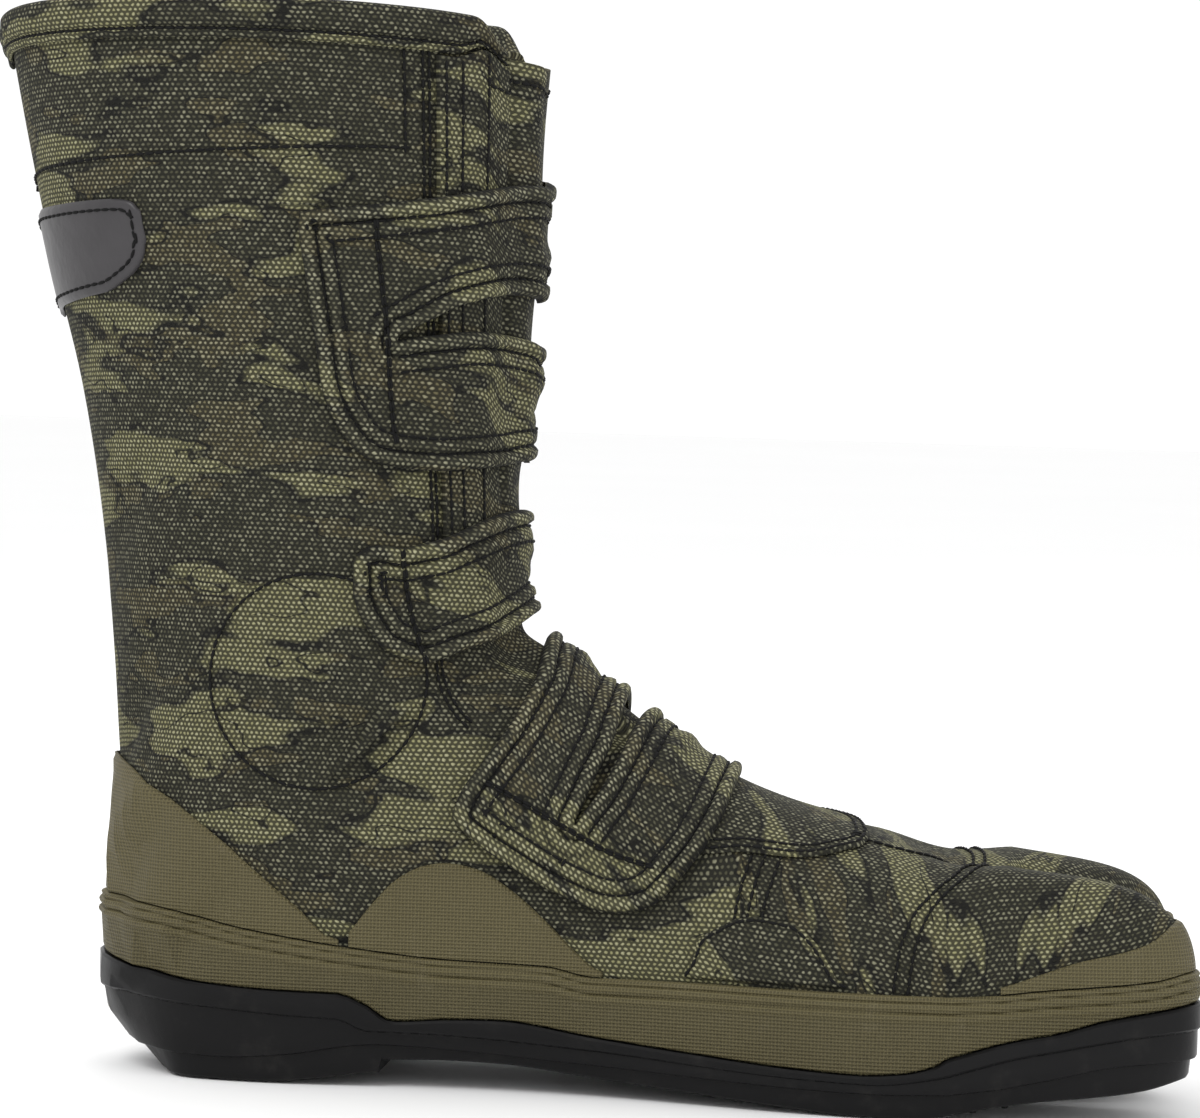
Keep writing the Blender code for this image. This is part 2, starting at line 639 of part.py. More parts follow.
# Overlays on the foot and shaft
VAMP_OVERLAY = ((1.68, -.125, -.065), (1.74, -.160, -.010), (1.92, -.196, .050),
                (2.32, -.250, .140), (2.72, -.274, .190), (3.28, -.292, .240),
                (4.30, -.340, .300))
REFLECTOR = ((-.733, 18.98, 19.24), (-.742, 18.84, 19.32), (-.765, 18.70, 19.36),
             (-.810, 18.60, 19.38), (-.880, 18.60, 19.40), (-1.0, 18.62, 19.44))
BALL_PATCH = ((2.00, -.566), (2.16, -.526), (2.32, -.482), (2.64, -.444), (3.04, -.440),
              (3.36, -.448), (3.68, -.474), (3.92, -.500), (4.10, -.560))


def height_place(u, side, z):
    """The place c at which section u passes the height z on its lower part."""
    low, high = 0.0, .8
    for _ in range(30):
        middle = (low + high) / 2
        if form(u, side, middle).z < z:
            low = middle
        else:
            high = middle
    return side * (1 - low)


def foxing_top(x):
    return FOXING_HEIGHT * curve(FOXING_TOP, share_of(x))


def overlays():
    def vamp(i, j):
        u = VAMP_OVERLAY[0][0] + (VAMP_OVERLAY[-1][0] - VAMP_OVERLAY[0][0]) * (i / 12) ** 1.5
        ends = [curve([(row[0], row[k]) for row in VAMP_OVERLAY], u) for k in (1, 2)]
        return u, ends[0] + (ends[1] - ends[0]) * j / 10

    def ball(i, j):
        u = BALL_PATCH[0][0] + (BALL_PATCH[-1][0] - BALL_PATCH[0][0]) * i / 10
        top = curve(BALL_PATCH, u)
        edge = form(u, -1, 1 + top)
        low = height_place(u, -1, foxing_top(edge.x) + 3 * GAP)
        top = max(top, low + .012)
        return u, low + (top - low) * j / 4

    def reflector(i, j):
        t = (j - 12) / 12
        c = -1 + (1 + REFLECTOR[0][0]) * math.copysign(abs(t) ** .8, t)
        low, high = [curve([(-row[0], row[k]) for row in REFLECTOR], 1 - abs(1 + c))
                     for k in (1, 2)]
        return low + (high - low) * i / 2, c

    patch("vamp_overlay", 12, 10, vamp, RIDGE_GAP, PATCH_WALL, "canvas_dark")
    patch("ball_patch", 10, 4, ball, GAP, PATCH_WALL, "canvas_dark")
    patch("back_reflector", 2, 24, reflector, GAP, PATCH_WALL, "grey_tape")


overlays()


# Perimeter of the foot: stations on the feather line, in a loop from the slit's root
# round the big lobe, the medial side, the heel, the lateral side and the small lobe
BALL_FLAT = (.706, .763)   # the forefoot stands on the ground between these
HEEL_STATIONS = (.022, .036, .056, .085, .120, .160, .200, .235, .262)
WAIST_STATIONS = [.340 + (BALL_FLAT[0] - .340) * k / 8 for k in range(8)]
SIDE_STATIONS = sorted([*HEEL_STATIONS, BREAST - .0015, BREAST + .0015, .300,
                        *WAIST_STATIONS, BALL_FLAT[0], .735, BALL_FLAT[1], .790],
                       reverse=True)
LOBE_STATIONS = [0.0] + lobe_stations(9)


def section_at(share, side):
    """Section index whose feather end lies at this share of the length."""
    low, high = float(ROOT), float(BACK)
    for _ in range(40):
        middle = (low + high) / 2
        if form(middle, side, 0.0).x > at_length(share):
            low = middle
        else:
            high = middle
    return low


LOOP = [("root", 0, 0)]
LOOP += [("inner", -1, k) for k in range(1, len(LOBE_STATIONS))]
LOOP += [("tip", -1, 0)]
LOOP += [("outer", -1, k) for k in range(len(LOBE_STATIONS) - 1, -1, -1)]
LOOP += [("side", -1, k) for k in range(len(SIDE_STATIONS))]
LOOP += [("back", 0, 0)]
LOOP += [("side", 1, k) for k in range(len(SIDE_STATIONS) - 1, -1, -1)]
LOOP += [("outer", 1, k) for k in range(len(LOBE_STATIONS))]
LOOP += [("tip", 1, 0)]
LOOP += [("inner", 1, k) for k in range(len(LOBE_STATIONS) - 1, 0, -1)]


def feather_point(key, inset=0.0):
    kind, side, k = key
    if kind == "root":
        return lobe_point(-1, 0.0, 2.0, inset)
    if kind == "tip":
        return lobe_point(side, 1.0, 0.0, inset)
    if kind == "back":
        return form(BACK, -1, 0.0, inset)
    if kind == "side":
        return form(section_at(SIDE_STATIONS[k], side), side, 0.0, inset)
    return lobe_point(side, LOBE_STATIONS[k], 0.0 if kind == "outer" else 2.0, inset)


def plan_normals(points):
    """Outward normals in plan of the closed loop."""
    normals = []
    for k, point in enumerate(points):
        before, after = points[k - 1], points[(k + 1) % len(points)]
        along = Vector((after.x - before.x, after.y - before.y, 0)).normalized()
        normals.append(Vector((along.y, -along.x, 0)))
    return normals


FEATHER = [feather_point(key) for key in LOOP]
NORMALS = plan_normals(FEATHER)
PLACE = {key: k for k, key in enumerate(LOOP)}
if NORMALS[PLACE[("back", 0, 0)]].x > 0:
    NORMALS = [-n for n in NORMALS]
NORMALS[0] = Vector((1, 0, 0))


def slit_share(key):
    """1 inside the slit, fading to 0 at its mouth."""
    kind, _, k = key
    if kind == "root":
        return 1.0
    if kind != "inner":
        return 0.0
    return 1 - smooth((LOBE_STATIONS[k] - .60) / .25)


def surface_ring(height):
    """Points on the upper at height(x), one a station.  They stand out a little where a
    straight run between two stations would cut into the upper."""
    def cast(k, point, normal):
        reach = SLIT_HALF_GAP * .9 if slit_share(LOOP[k]) > 0 else .03
        start = point + normal * reach
        start.z = max(start.z, feather(point.x) + .0008)
        hit, _, _, _ = OUTER_TREE.ray_cast(start, -normal, reach + .03)
        return Vector((hit.x, hit.y, point.z)) if hit is not None else point

    count = len(LOOP)
    heights = [height(p.x) for p in FEATHER]
    ring = [cast(k, Vector((FEATHER[k].x, FEATHER[k].y, heights[k])), NORMALS[k])
            for k in range(count)]
    extra = [0.0] * count
    for k in range(count):
        m = (k + 1) % count
        for t in (.2, .4, .6, .8):
            chord = ring[k].lerp(ring[m], t)
            normal = NORMALS[k].lerp(NORMALS[m], t).normalized()
            short = (cast(k, chord, normal) - chord).dot(normal)
            if 0 < short < .003:
                extra[k] = max(extra[k], short)
                extra[m] = max(extra[m], short)
    return [p + NORMALS[k] * extra[k] for k, p in enumerate(ring)]


def rubber_lift(key, wall):
    """Outer face of a rubber wall, thinner inside the slit."""
    inside = slit_share(key)
    return (GAP + wall) * (1 - inside) + (SLIT_HALF_GAP - SLIT_AIR) * inside


def band(name, keys, low, high, wall, rows, finish, closed=False):
    """A rubber sheet beside the upper from height low(x) to high(x)."""
    rings = [surface_ring(lambda x, t=i / rows: low(x) + (high(x) - low(x)) * t)
             for i in range(rows + 1)]
    outer, inner, faces = [], [], []
    for key in keys:
        k = PLACE[key]
        for ring in rings:
            inner.append(ring[k] + NORMALS[k] * GAP)
            outer.append(ring[k] + NORMALS[k] * rubber_lift(key, wall))
    count = len(keys)
    for j in range(count if closed else count - 1):
        for i in range(rows):
            a = j * (rows + 1) + i
            b = (j + 1) % count * (rows + 1) + i
            faces.append((a, b, b + 1, a + 1))
    thick(name, outer, inner, faces, finish)


def cup_top(x):
    return CUP_HEIGHT * curve(CUP_TOP, share_of(x))


def above(line):
    return lambda x: line(x) + GAP


band("foxing", LOOP, above(cup_top), foxing_top, FOXING_WALL, 2, "olive_rubber", closed=True)

HEEL_KEYS = [key for key in LOOP if key[0] == "back"
             or (key[0] == "side" and SIDE_STATIONS[key[2]] < .2355)]
band("heel_guard", HEEL_KEYS, above(foxing_top),
     lambda x: HEEL_GUARD_HEIGHT * curve(HEEL_GUARD_TOP, share_of(x)),
     GUARD_WALL, 4, "olive_rubber")
ARCH_KEYS = [key for key in LOOP if key[:2] == ("side", -1)
             and .2450 < SIDE_STATIONS[key[2]] < .480]
band("arch_guard", ARCH_KEYS, above(foxing_top),
     lambda x: ARCH_GUARD_HEIGHT * curve(ARCH_GUARD_TOP, share_of(x)),
     GUARD_WALL, 3, "olive_rubber")


def toe_guard(name, side):
    stretch = LOBES[-1][0] / LOBES[side][0]
    keys = [key for key in LOOP if key[1] == side and (
        key[0] in ("outer", "tip") or (key[0] == "side" and SIDE_STATIONS[key[2]] > .789)
        or (key[0] == "inner" and LOBE_STATIONS[key[2]] > .55))]

    def top(x):
        lower = 1 - LOBE_GUARD_DROP * (side > 0)
        height = TOE_GUARD_HEIGHT * lower * curve(TOE_GUARD_TOP, share_of(x) * stretch)
        return max(height, foxing_top(x) + 3 * GAP)
    band(name, keys, above(foxing_top), top, GUARD_WALL, 2, "olive_rubber")


toe_guard("toe_guard_big", -1)
toe_guard("toe_guard_small", 1)


# Outsole and insole
def caps(bm, ring, upward):
    """Close a loop of stations with a ladder from side to side."""
    def v(kind, side, k):
        return ring[PLACE[(kind, side, k)]]

    last_side = len(SIDE_STATIONS) - 1
    last_lobe = len(LOBE_STATIONS) - 1
    polygons = [(v("side", -1, last_side), v("back", 0, 0), v("side", 1, last_side))]
    for k in range(last_side):
        polygons.append((v("side", -1, k), v("side", -1, k + 1), v("side", 1, k + 1),
                         v("side", 1, k)))
    root = v("root", 0, 0)
    polygons.append((v("outer", -1, 0), v("side", -1, 0), v("side", 1, 0), v("outer", 1, 0),
                     root))
    for side in (-1, 1):
        inner = [root] + [v("inner", side, k) for k in range(1, last_lobe + 1)]
        for k in range(last_lobe):
            quad = (v("outer", side, k + 1), v("outer", side, k), inner[k], inner[k + 1])
            polygons.append(quad if side < 0 else quad[::-1])
        tip = (v("tip", side, 0), v("outer", side, last_lobe), inner[last_lobe])
        polygons.append(tip if side < 0 else tip[::-1])
    for polygon in polygons:
        bm.faces.new(polygon if upward else polygon[::-1])


def rings_solid(name, rings, finish):
    """A solid of rings round the perimeter, closed by a ladder at both ends."""
    bm = bmesh.new()
    loops = [[bm.verts.new(p) for p in ring] for ring in rings]
    count = len(loops[0])
    for one, two in zip(loops, loops[1:]):
        for k in range(count):
            m = (k + 1) % count
            bm.faces.new((one[k], one[m], two[m], two[k]))
    caps(bm, loops[0], False)
    caps(bm, loops[-1], True)
    return link(name, bm, finish)


SOLE_LEDGE = ((0.0, .71), (.11, .66), (.20, .61), (.235, .60), (.262, .50), (.29, .50),
              (.47, .42), (.65, .315), (.72, .30), (.77, .36), (.85, .58), (1.0, .80))
BOTTOM_INSET = 0.0030      # edge of the tread inside the rim
STEP_INSET = 0.0026        # just under the step
PANEL_INSET = 0.0010       # side panel between the step and the ledge
LEDGE_INSET = 0.0002
HEEL_UNDERCUT = 0.0190     # heel back drawn in at the ground
UNDERCUT_HEIGHT = 0.0180
EDGE_STEP = 0.0005         # height over which a step turns out


def sole_bottom(x):
    table = HEEL_BOTTOM if share_of(x) < BREAST else FORE_BOTTOM
    return CUP_HEIGHT * curve(table, share_of(x))


def sole_line(table, x):
    return CUP_HEIGHT * curve(table, share_of(x))


def sole_ring(height, inset):
    """A ring on the outsole's outer side at height(x), drawn in by inset."""
    ring = surface_ring(height)
    for k, key in enumerate(LOOP):
        backward = max(-NORMALS[k].x, 0) if FEATHER[k].x < 0 else 0
        height_left = max(1 - ring[k].z / UNDERCUT_HEIGHT, 0)
        drawn = inset * (1 - .8 * slit_share(key))
        drawn += HEEL_UNDERCUT * height_left ** 2 * backward ** 2
        ring[k] += NORMALS[k] * (rubber_lift(key, RIM_WALL) - drawn)
    return ring


def cup_ring(height):
    """A ring on the inside of the outsole's rim."""
    return [p + NORMALS[k] * CUP_GAP for k, p in enumerate(surface_ring(height))]


def outsole():
    rings = [
        sole_ring(sole_bottom, BOTTOM_INSET),
        sole_ring(lambda x: sole_line(SOLE_STEP, x) - EDGE_STEP, STEP_INSET),
        sole_ring(lambda x: sole_line(SOLE_STEP, x), PANEL_INSET),
        sole_ring(lambda x: (sole_line(SOLE_STEP, x) + sole_line(SOLE_LEDGE, x)) / 2,
                  PANEL_INSET),
        sole_ring(lambda x: sole_line(SOLE_LEDGE, x) - EDGE_STEP, PANEL_INSET),
        sole_ring(lambda x: sole_line(SOLE_LEDGE, x), LEDGE_INSET),
        sole_ring(cup_top, 0.0),
        cup_ring(cup_top),
        cup_ring(lambda x: footbed(x) + .35 * (cup_top(x) - footbed(x))),
        cup_ring(lambda x: footbed(x) + .12 * (cup_top(x) - footbed(x))),
        cup_ring(footbed),
    ]
    return rings_solid("outsole", rings, "black_rubber")


OUTSOLE = outsole()

# Studs under the toes, tapered and joined to the tread
STUD_ROWS = (.806, .834, .866, .898, .930)   # x shares
STUD_LINES = {-1: (-.40, -.30, -.18), 1: (.03, .15, .27, .38)}   # shares of BALL_WIDTH
STUD_SINK = 0.0012
STUD_TAPER = .45
STUD_MARGIN = 0.0065       # studs keep this far inside the tread's edge


def studs():
    outline = [(p.x, p.y) for p in sole_ring(sole_bottom, BOTTOM_INSET + STUD_MARGIN)]

    def inside(x, y):
        crossings = 0
        for (x0, y0), (x1, y1) in zip(outline, outline[1:] + outline[:1]):
            if (y0 > y) != (y1 > y) and x < x0 + (y - y0) * (x1 - x0) / (y1 - y0):
                crossings += 1
        return crossings % 2 == 1

    bm = bmesh.new()
    for share in STUD_ROWS:
        for line in STUD_LINES[-1] + STUD_LINES[1]:
            x, y = at_length(share), line * BALL_WIDTH
            if not inside(x, y):
                continue
            ends = []
            for half, rise in ((.5, STUD_SINK), (.5 * STUD_TAPER, -STUD_HEIGHT)):
                z = sole_bottom(x) + rise
                ends.append([bm.verts.new((x + sx * half * STUD_WIDTH,
                                           y + sy * half * STUD_WIDTH, z))
                             for sx, sy in ((-1, -1), (1, -1), (1, 1), (-1, 1))])
            top, tip = ends
            bm.faces.new(top)
            bm.faces.new(tip[::-1])
            for k in range(4):
                m = (k + 1) % 4
                bm.faces.new((top[k], tip[k], tip[m], top[m]))
    bmesh.ops.recalc_face_normals(bm, faces=bm.faces)
    mesh = bpy.data.meshes.new("studs")
    bm.to_mesh(mesh)
    bm.free()
    tools = bpy.data.collections.new("cutters")
    bpy.context.scene.collection.children.link(tools)
    tools.hide_render = True
    cutter = bpy.data.objects.new("studs", mesh)
    cutter.display_type = "WIRE"
    cutter.hide_render = True
    tools.objects.link(cutter)
    union = OUTSOLE.modifiers.new("studs", "BOOLEAN")
    union.operation = "UNION"
    union.solver = "EXACT"
    union.object = cutter


studs()


def insole():
    bases = [feather_point(key, WALL) - NORMALS[k] * INSOLE_MARGIN
             for k, key in enumerate(LOOP)]
    rings = [[Vector((p.x, p.y, footbed(p.x) + GAP + lift)) for p in bases]
             for lift in (0.0, INSOLE_THICKNESS)]
    rings_solid("insole", rings, "insole_cloth")


insole()
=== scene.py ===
"""Jika tabi boot, left shoe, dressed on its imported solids.  Metres, toes to +X, up +Z."""
import math

import bmesh
import bpy
import numpy as np
from mathutils import Matrix, Vector
from mathutils.bvhtree import BVHTree


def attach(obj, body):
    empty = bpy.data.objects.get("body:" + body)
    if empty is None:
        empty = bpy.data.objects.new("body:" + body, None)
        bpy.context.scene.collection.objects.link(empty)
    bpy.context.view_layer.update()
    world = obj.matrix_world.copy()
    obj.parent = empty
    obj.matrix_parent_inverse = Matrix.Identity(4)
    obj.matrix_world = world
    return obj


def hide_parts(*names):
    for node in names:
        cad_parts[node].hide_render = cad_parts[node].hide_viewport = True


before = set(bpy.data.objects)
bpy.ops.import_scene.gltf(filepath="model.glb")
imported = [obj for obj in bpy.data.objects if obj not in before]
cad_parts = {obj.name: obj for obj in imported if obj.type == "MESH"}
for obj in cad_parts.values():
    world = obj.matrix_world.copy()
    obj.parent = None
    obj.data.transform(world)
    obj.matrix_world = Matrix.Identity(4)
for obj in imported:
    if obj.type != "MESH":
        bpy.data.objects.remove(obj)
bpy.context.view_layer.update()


def add_object(name, data):
    """A new object in the scene."""
    item = bpy.data.objects.new(name, data)
    bpy.context.scene.collection.objects.link(item)
    return item


# Camera and studio
# A long lens a little ahead of the shoe's inner side, with the photograph's slight roll.
TARGET = Vector((.085, 0, .1337))
DISTANCE = 1.30
azimuth, elevation, roll = (math.radians(a) for a in (6.0, 3.0, 1.6))
back = Vector((math.sin(azimuth) * math.cos(elevation),
               -math.cos(azimuth) * math.cos(elevation), math.sin(elevation)))
right = (-back).cross(Vector((0, 0, 1))).normalized()
up = right.cross(-back)
right, up = (math.cos(roll) * right + math.sin(roll) * up,
             math.cos(roll) * up - math.sin(roll) * right)
lens = bpy.data.cameras.new("camera")
lens.lens = 152.1
lens.sensor_width = 36
lens.sensor_fit = "HORIZONTAL"
camera = add_object("camera", lens)
camera.matrix_world = Matrix((
    (right.x, up.x, back.x, TARGET.x + back.x * DISTANCE),
    (right.y, up.y, back.y, TARGET.y + back.y * DISTANCE),
    (right.z, up.z, back.z, TARGET.z + back.z * DISTANCE), (0, 0, 0, 1)))
bpy.context.scene.camera = camera

world = bpy.data.worlds.new("studio")
bpy.context.scene.world = world
bpy.context.scene.view_settings.view_transform = "Standard"
world.use_nodes = True
world.node_tree.nodes["Background"].inputs["Color"].default_value = (1, 1, 1, 1)
world.node_tree.nodes["Background"].inputs["Strength"].default_value = 1.05
for name, place, size, power in (
        ("key", (-.45, -1.0, 1.4), .7, 11), ("fill", (1.1, -.9, .7), 1.2, 3),
        ("rear", (.1, 1.2, 1.2), 1.2, 6)):
    light = bpy.data.lights.new(name, "AREA")
    light.size = size
    light.energy = power
    lamp = add_object(name, light)
    lamp.location = place
    toward = Vector((.08, 0, .12)) - Vector(place)
    lamp.rotation_euler = toward.to_track_quat("-Z", "Y").to_euler()


# Nodes of a material, used by every finish below
class Finish:
    """A Principled material and short ways to wire its nodes."""
    def __init__(self, name, roughness, **sockets):
        self.material = bpy.data.materials.new(name)
        self.material.use_nodes = True
        self.tree = self.material.node_tree
        self.shader = self.tree.nodes["Principled BSDF"]
        self.shader.inputs["Roughness"].default_value = roughness
        for socket, value in sockets.items():
            self.shader.inputs[socket.replace("_", " ")].default_value = value

    def node(self, kind, inputs=(), **settings):
        node = self.tree.nodes.new("ShaderNode" + kind)
        for key, value in settings.items():
            setattr(node, key, value)
        for key, value in dict(inputs).items():
            if isinstance(value, bpy.types.NodeSocket):
                self.tree.links.new(value, node.inputs[key])
            else:
                node.inputs[key].default_value = value
        return node

    def math(self, operation, a, b=0.0, c=0.0):
        return self.node("Math", {0: a, 1: b, 2: c}, operation=operation).outputs[0]

    def plus(self, a, b):
        return self.math("ADD", a, b)

    def minus(self, a, b):
        return self.math("SUBTRACT", a, b)

    def times(self, a, b):
        return self.math("MULTIPLY", a, b)

    def wave(self, value, pitch):
        return self.math("SINE", self.times(value, 2 * math.pi / pitch))

    def axes(self, vector):
        return self.node("SeparateXYZ", {0: vector}).outputs

    def ramp(self, value, low, high):
        """0 below low, 1 above high, eased between."""
        return self.node("MapRange", {"Value": value, "From Min": low, "From Max": high},
                         interpolation_type="SMOOTHSTEP").outputs["Result"]

    def mix(self, share, a, b):
        node = self.node("Mix", data_type="RGBA")
        for socket, value in ((node.inputs[0], share), (node.inputs[6], a), (node.inputs[7], b)):
            if isinstance(value, bpy.types.NodeSocket):
                self.tree.links.new(value, socket)
            else:
                socket.default_value = (*value, 1) if isinstance(value, tuple) else value
        return node.outputs[2]

    def noise(self, vector, scale, detail=3.0, rough=.5, out="Fac"):
        node = self.node("TexNoise", {"Vector": vector, "Scale": scale, "Detail": detail,
                                      "Roughness": rough})
        return node.outputs[out]

    def place(self, vector, scale=(1, 1, 1), shift=(0, 0, 0), turn=0.0):
        return self.node("Mapping", {"Vector": vector, "Scale": scale, "Location": shift,
                                     "Rotation": (0, 0, turn)}).outputs[0]

    def uv(self, name):
        return self.node("UVMap", uv_map=name).outputs[0]

    def object(self):
        return self.node("TexCoord").outputs["Object"]

    def bump(self, height, distance, strength=1.0, below=None):
        inputs = {"Height": height, "Distance": distance, "Strength": strength}
        if below is not None:
            inputs["Normal"] = below
        return self.node("Bump", inputs).outputs[0]

    def paint(self, color=None, normal=None, roughness=None):
        for socket, value in (("Base Color", color), ("Normal", normal), ("Roughness", roughness)):
            if value is not None:
                self.tree.links.new(value, self.shader.inputs[socket])
        return self.material


# Canvas upper
# One hollow sock of washed camouflage duck, two layers sewn to follow a split-toed last, open
# at the collar and down the front.  Its form is worked out in sections from the slit between
# the toes back over the instep and up the leg.
LENGTH = 0.2820            # sole, heel back to big toe tip
HEEL_SETBACK = 0.0415      # heel back behind the origin
BALL_WIDTH = 0.0950        # canvas at the ball of the foot
HEEL_WIDTH = 0.0620        # canvas at the heel
SHAFT_WIDTH = 0.0930       # canvas at the collar
TOE_HEIGHT = 0.0615        # top of the toe lobes
INSTEP_HEIGHT = 0.1140     # crease at the front of the ankle
COLLAR_HEIGHT = 0.2640     # collar at the back seam
COLLAR_RISE = 0.0075       # collar higher at the sides
COLLAR_CORNER = 0.0060     # round corner of the collar at the throat
WALL = 0.0020              # two layers of canvas
GAP = 0.0004               # between pieces that lie on each other
RIDGE_GAP = 0.0007         # the same where a piece bends over the foot's ridge
FOOTBED_HEIGHT = 0.0132    # floor inside the heel
# Split toe
SLIT_HALF_GAP = 0.0023     # canvas to the slit's middle plane
SLIT_AIR = 0.0009          # rubber to the slit's middle plane
SLIT_ROUND = 0.0035        # round of the slit's root
SHOULDER_DROP = 0.0065     # slit's edge below the lobes' tops
THROAT_COLUMNS = 2         # columns each side of the front line left open
COLUMNS = 14               # columns of half a section in the solids

# Sections of the upper, from the root of the slit to the collar.  Each lies in a plane
# from a front point down to a point on the feather line or back seam.  x is a share of
# LENGTH from the heel back.  A height up to 1 is a share of INSTEP_HEIGHT, and the part
# above 1 a share of the rest of COLLAR_HEIGHT.  Half widths, also at the feather end and
# of the ridge's shift, are shares of the width named first.
SECTION_COLUMNS = ("front_x", "front_h", "back_x", "back_h", "medial", "lateral",
                   "end_medial", "end_lateral", "ridge", "widest", "round_top", "round_low")
SECTIONS = (
    ("ball", .828, .548, .828, .085, .474, .484, .469, .476, -.079, .67, 2.8, 3.5),
    ("ball", .757, .572, .764, .080, .486, .519, .473, .505, -.074, .68, 2.7, 3.5),
    ("ball", .679, .602, .697, .078, .479, .530, .463, .516, -.063, .70, 2.4, 3.5),
    ("ball", .615, .645, .626, .082, .447, .505, .432, .489, -.053, .72, 2.2, 3.5),
    ("ball", .558, .706, .555, .088, .405, .468, .384, .447, -.037, .74, 2.0, 3.5),
    ("ball", .505, .789, .480, .095, .374, .432, .324, .400, -.021, .72, 1.9, 3.4),
    ("ball", .454, .880, .395, .101, .358, .398, .294, .362, -.010, .66, 1.9, 3.2),
    ("heel", .410, .956, .296, .107, .556, .581, .456, .510, 0.0, .58, 1.9, 3.0),
    ("heel", .384, .996, .183, .110, .570, .583, .489, .497, 0.0, .52, 1.9, 2.2),
    ("heel", .377, 1.023, .090, .113, .574, .581, .452, .458, 0.0, .49, 2.0, 1.5),
    ("heel", .374, 1.047, .0426, .115, .577, .579, .318, .318, 0.0, .47, 2.0, 1.25),
    ("heel", .372, 1.073, .0200, .117, .580, .580, .158, .158, 0.0, .46, 2.0, 1.35),
    ("heel", .370, 1.100, .0115, .119, .585, .585, 0.0, 0.0, 0.0, .45, 2.0, 2.1),
    ("heel", .367, 1.137, .0089, .290, .590, .590, 0.0, 0.0, 0.0, .45, 2.0, 2.1),
    ("heel", .365, 1.187, .0089, .482, .598, .598, 0.0, 0.0, 0.0, .45, 2.0, 2.1),
    ("heel", .364, 1.253, .0103, .702, .612, .612, 0.0, 0.0, 0.0, .45, 2.0, 2.0),
    ("shaft", .363, 1.333, .0020, .982, .420, .420, 0.0, 0.0, 0.0, .46, 2.0, 2.0),
    ("shaft", .363, 1.433, -.0117, 1.200, .434, .434, 0.0, 0.0, 0.0, .46, 2.0, 2.0),
    ("shaft", .364, 1.547, -.0319, 1.400, .453, .453, 0.0, 0.0, 0.0, .46, 2.0, 2.0),
    ("shaft", .366, 1.680, -.0596, 1.593, .473, .473, 0.0, 0.0, 0.0, .47, 2.0, 2.0),
    ("shaft", .368, 1.833, -.0851, 1.800, .489, .489, 0.0, 0.0, 0.0, .47, 2.0, 2.0),
    ("shaft", .368, 1.995, -.1074, 2.000, .500, .500, 0.0, 0.0, 0.0, .47, 2.0, 2.0),
)
ROOT = 0                   # section at the root of the slit
BLEND_END = 1.7            # behind this section the two lobes no longer show
BACK = 12                  # first section that ends on the back seam
COLLAR = len(SECTIONS) - 1
THROAT_FOOT = 14           # lowest section with the throat open

# The two toe lobes from the slit's root to their tips.  x is a share of LENGTH, widths
# of BALL_WIDTH, heights of TOE_HEIGHT.  The outer wall runs along a line that closes on
# the lobe's axis at the tip; the powers set how blunt the tip is.
LOBE_COLUMNS = ("tip_x", "tip_y", "axis_y", "outer_y", "outer_end", "top", "top_end",
                "outer_power", "inner_power", "top_power")
LOBES = {
    -1: (.9930, -.263, -.286, -.469, -.432, 1.00, .930, 2.6, 3.0, 4.5),
    1: (.9780, .126, .210, .476, .379, 1.00, .930, 2.2, 2.6, 5.0),
}
SLIT_Y = -.079             # share of BALL_WIDTH
LOBE_ROUND = 2.6           # power of a lobe's section

# Lines along the foot: x share of LENGTH, height share of the size named beside it
FOOTBED = ((0.0, 1.00), (.147, .94), (.29, .91), (.466, .80), (.61, .70), (.732, .65),
           (.82, .74), (.91, .95), (1.0, 1.35))                      # FOOTBED_HEIGHT


def curve(table, x):
    """Smooth value at x through (x, value) rows, without overshoot."""
    if x <= table[0][0]:
        return table[0][1]
    if x >= table[-1][0]:
        return table[-1][1]
    i = max(k for k in range(len(table) - 1) if table[k][0] <= x)

    def slope(k):
        if k in (0, len(table) - 1):
            return 0.0
        before = (table[k][1] - table[k - 1][1]) / (table[k][0] - table[k - 1][0])
        after = (table[k + 1][1] - table[k][1]) / (table[k + 1][0] - table[k][0])
        return 0.0 if before * after <= 0 else 2 * before * after / (before + after)

    (x0, y0), (x1, y1) = table[i], table[i + 1]
    span = x1 - x0
    t = (x - x0) / span
    return ((2 * t**3 - 3 * t**2 + 1) * y0 + (t**3 - 2 * t**2 + t) * span * slope(i)
            + (3 * t**2 - 2 * t**3) * y1 + (t**3 - t**2) * span * slope(i + 1))


def smooth(t):
    """Ease from 0 to 1."""
    t = min(max(t, 0.0), 1.0)
    return t * t * (3 - 2 * t)


def at_length(share):
    return share * LENGTH - HEEL_SETBACK


def share_of(x):
    return (x + HEEL_SETBACK) / LENGTH


def at_height(h):
    if h <= 1:
        return h * INSTEP_HEIGHT
    return INSTEP_HEIGHT + (h - 1) * (COLLAR_HEIGHT - INSTEP_HEIGHT)


def footbed(x):
    return FOOTBED_HEIGHT * curve(FOOTBED, share_of(x))


def feather(x):
    return footbed(x) + GAP


def turning_point(holds, low, high, steps):
    """Where a test that holds at low stops holding on the way to high."""
    for _ in range(steps):
        middle = (low + high) / 2
        low, high = (middle, high) if holds(middle) else (low, middle)
    return low


def real_section(index):
    """A section row in metres."""
    width = {"ball": BALL_WIDTH, "heel": HEEL_WIDTH, "shaft": SHAFT_WIDTH}[SECTIONS[index][0]]
    row = dict(zip(SECTION_COLUMNS, SECTIONS[index][1:]))
    for name in ("medial", "lateral", "end_medial", "end_lateral", "ridge"):
        row[name] *= width
    for name in ("front", "back"):
        row[name + "_x"] = at_length(row[name + "_x"])
        row[name + "_h"] = at_height(row[name + "_h"])
    return row


REAL = [real_section(i) for i in range(len(SECTIONS))]


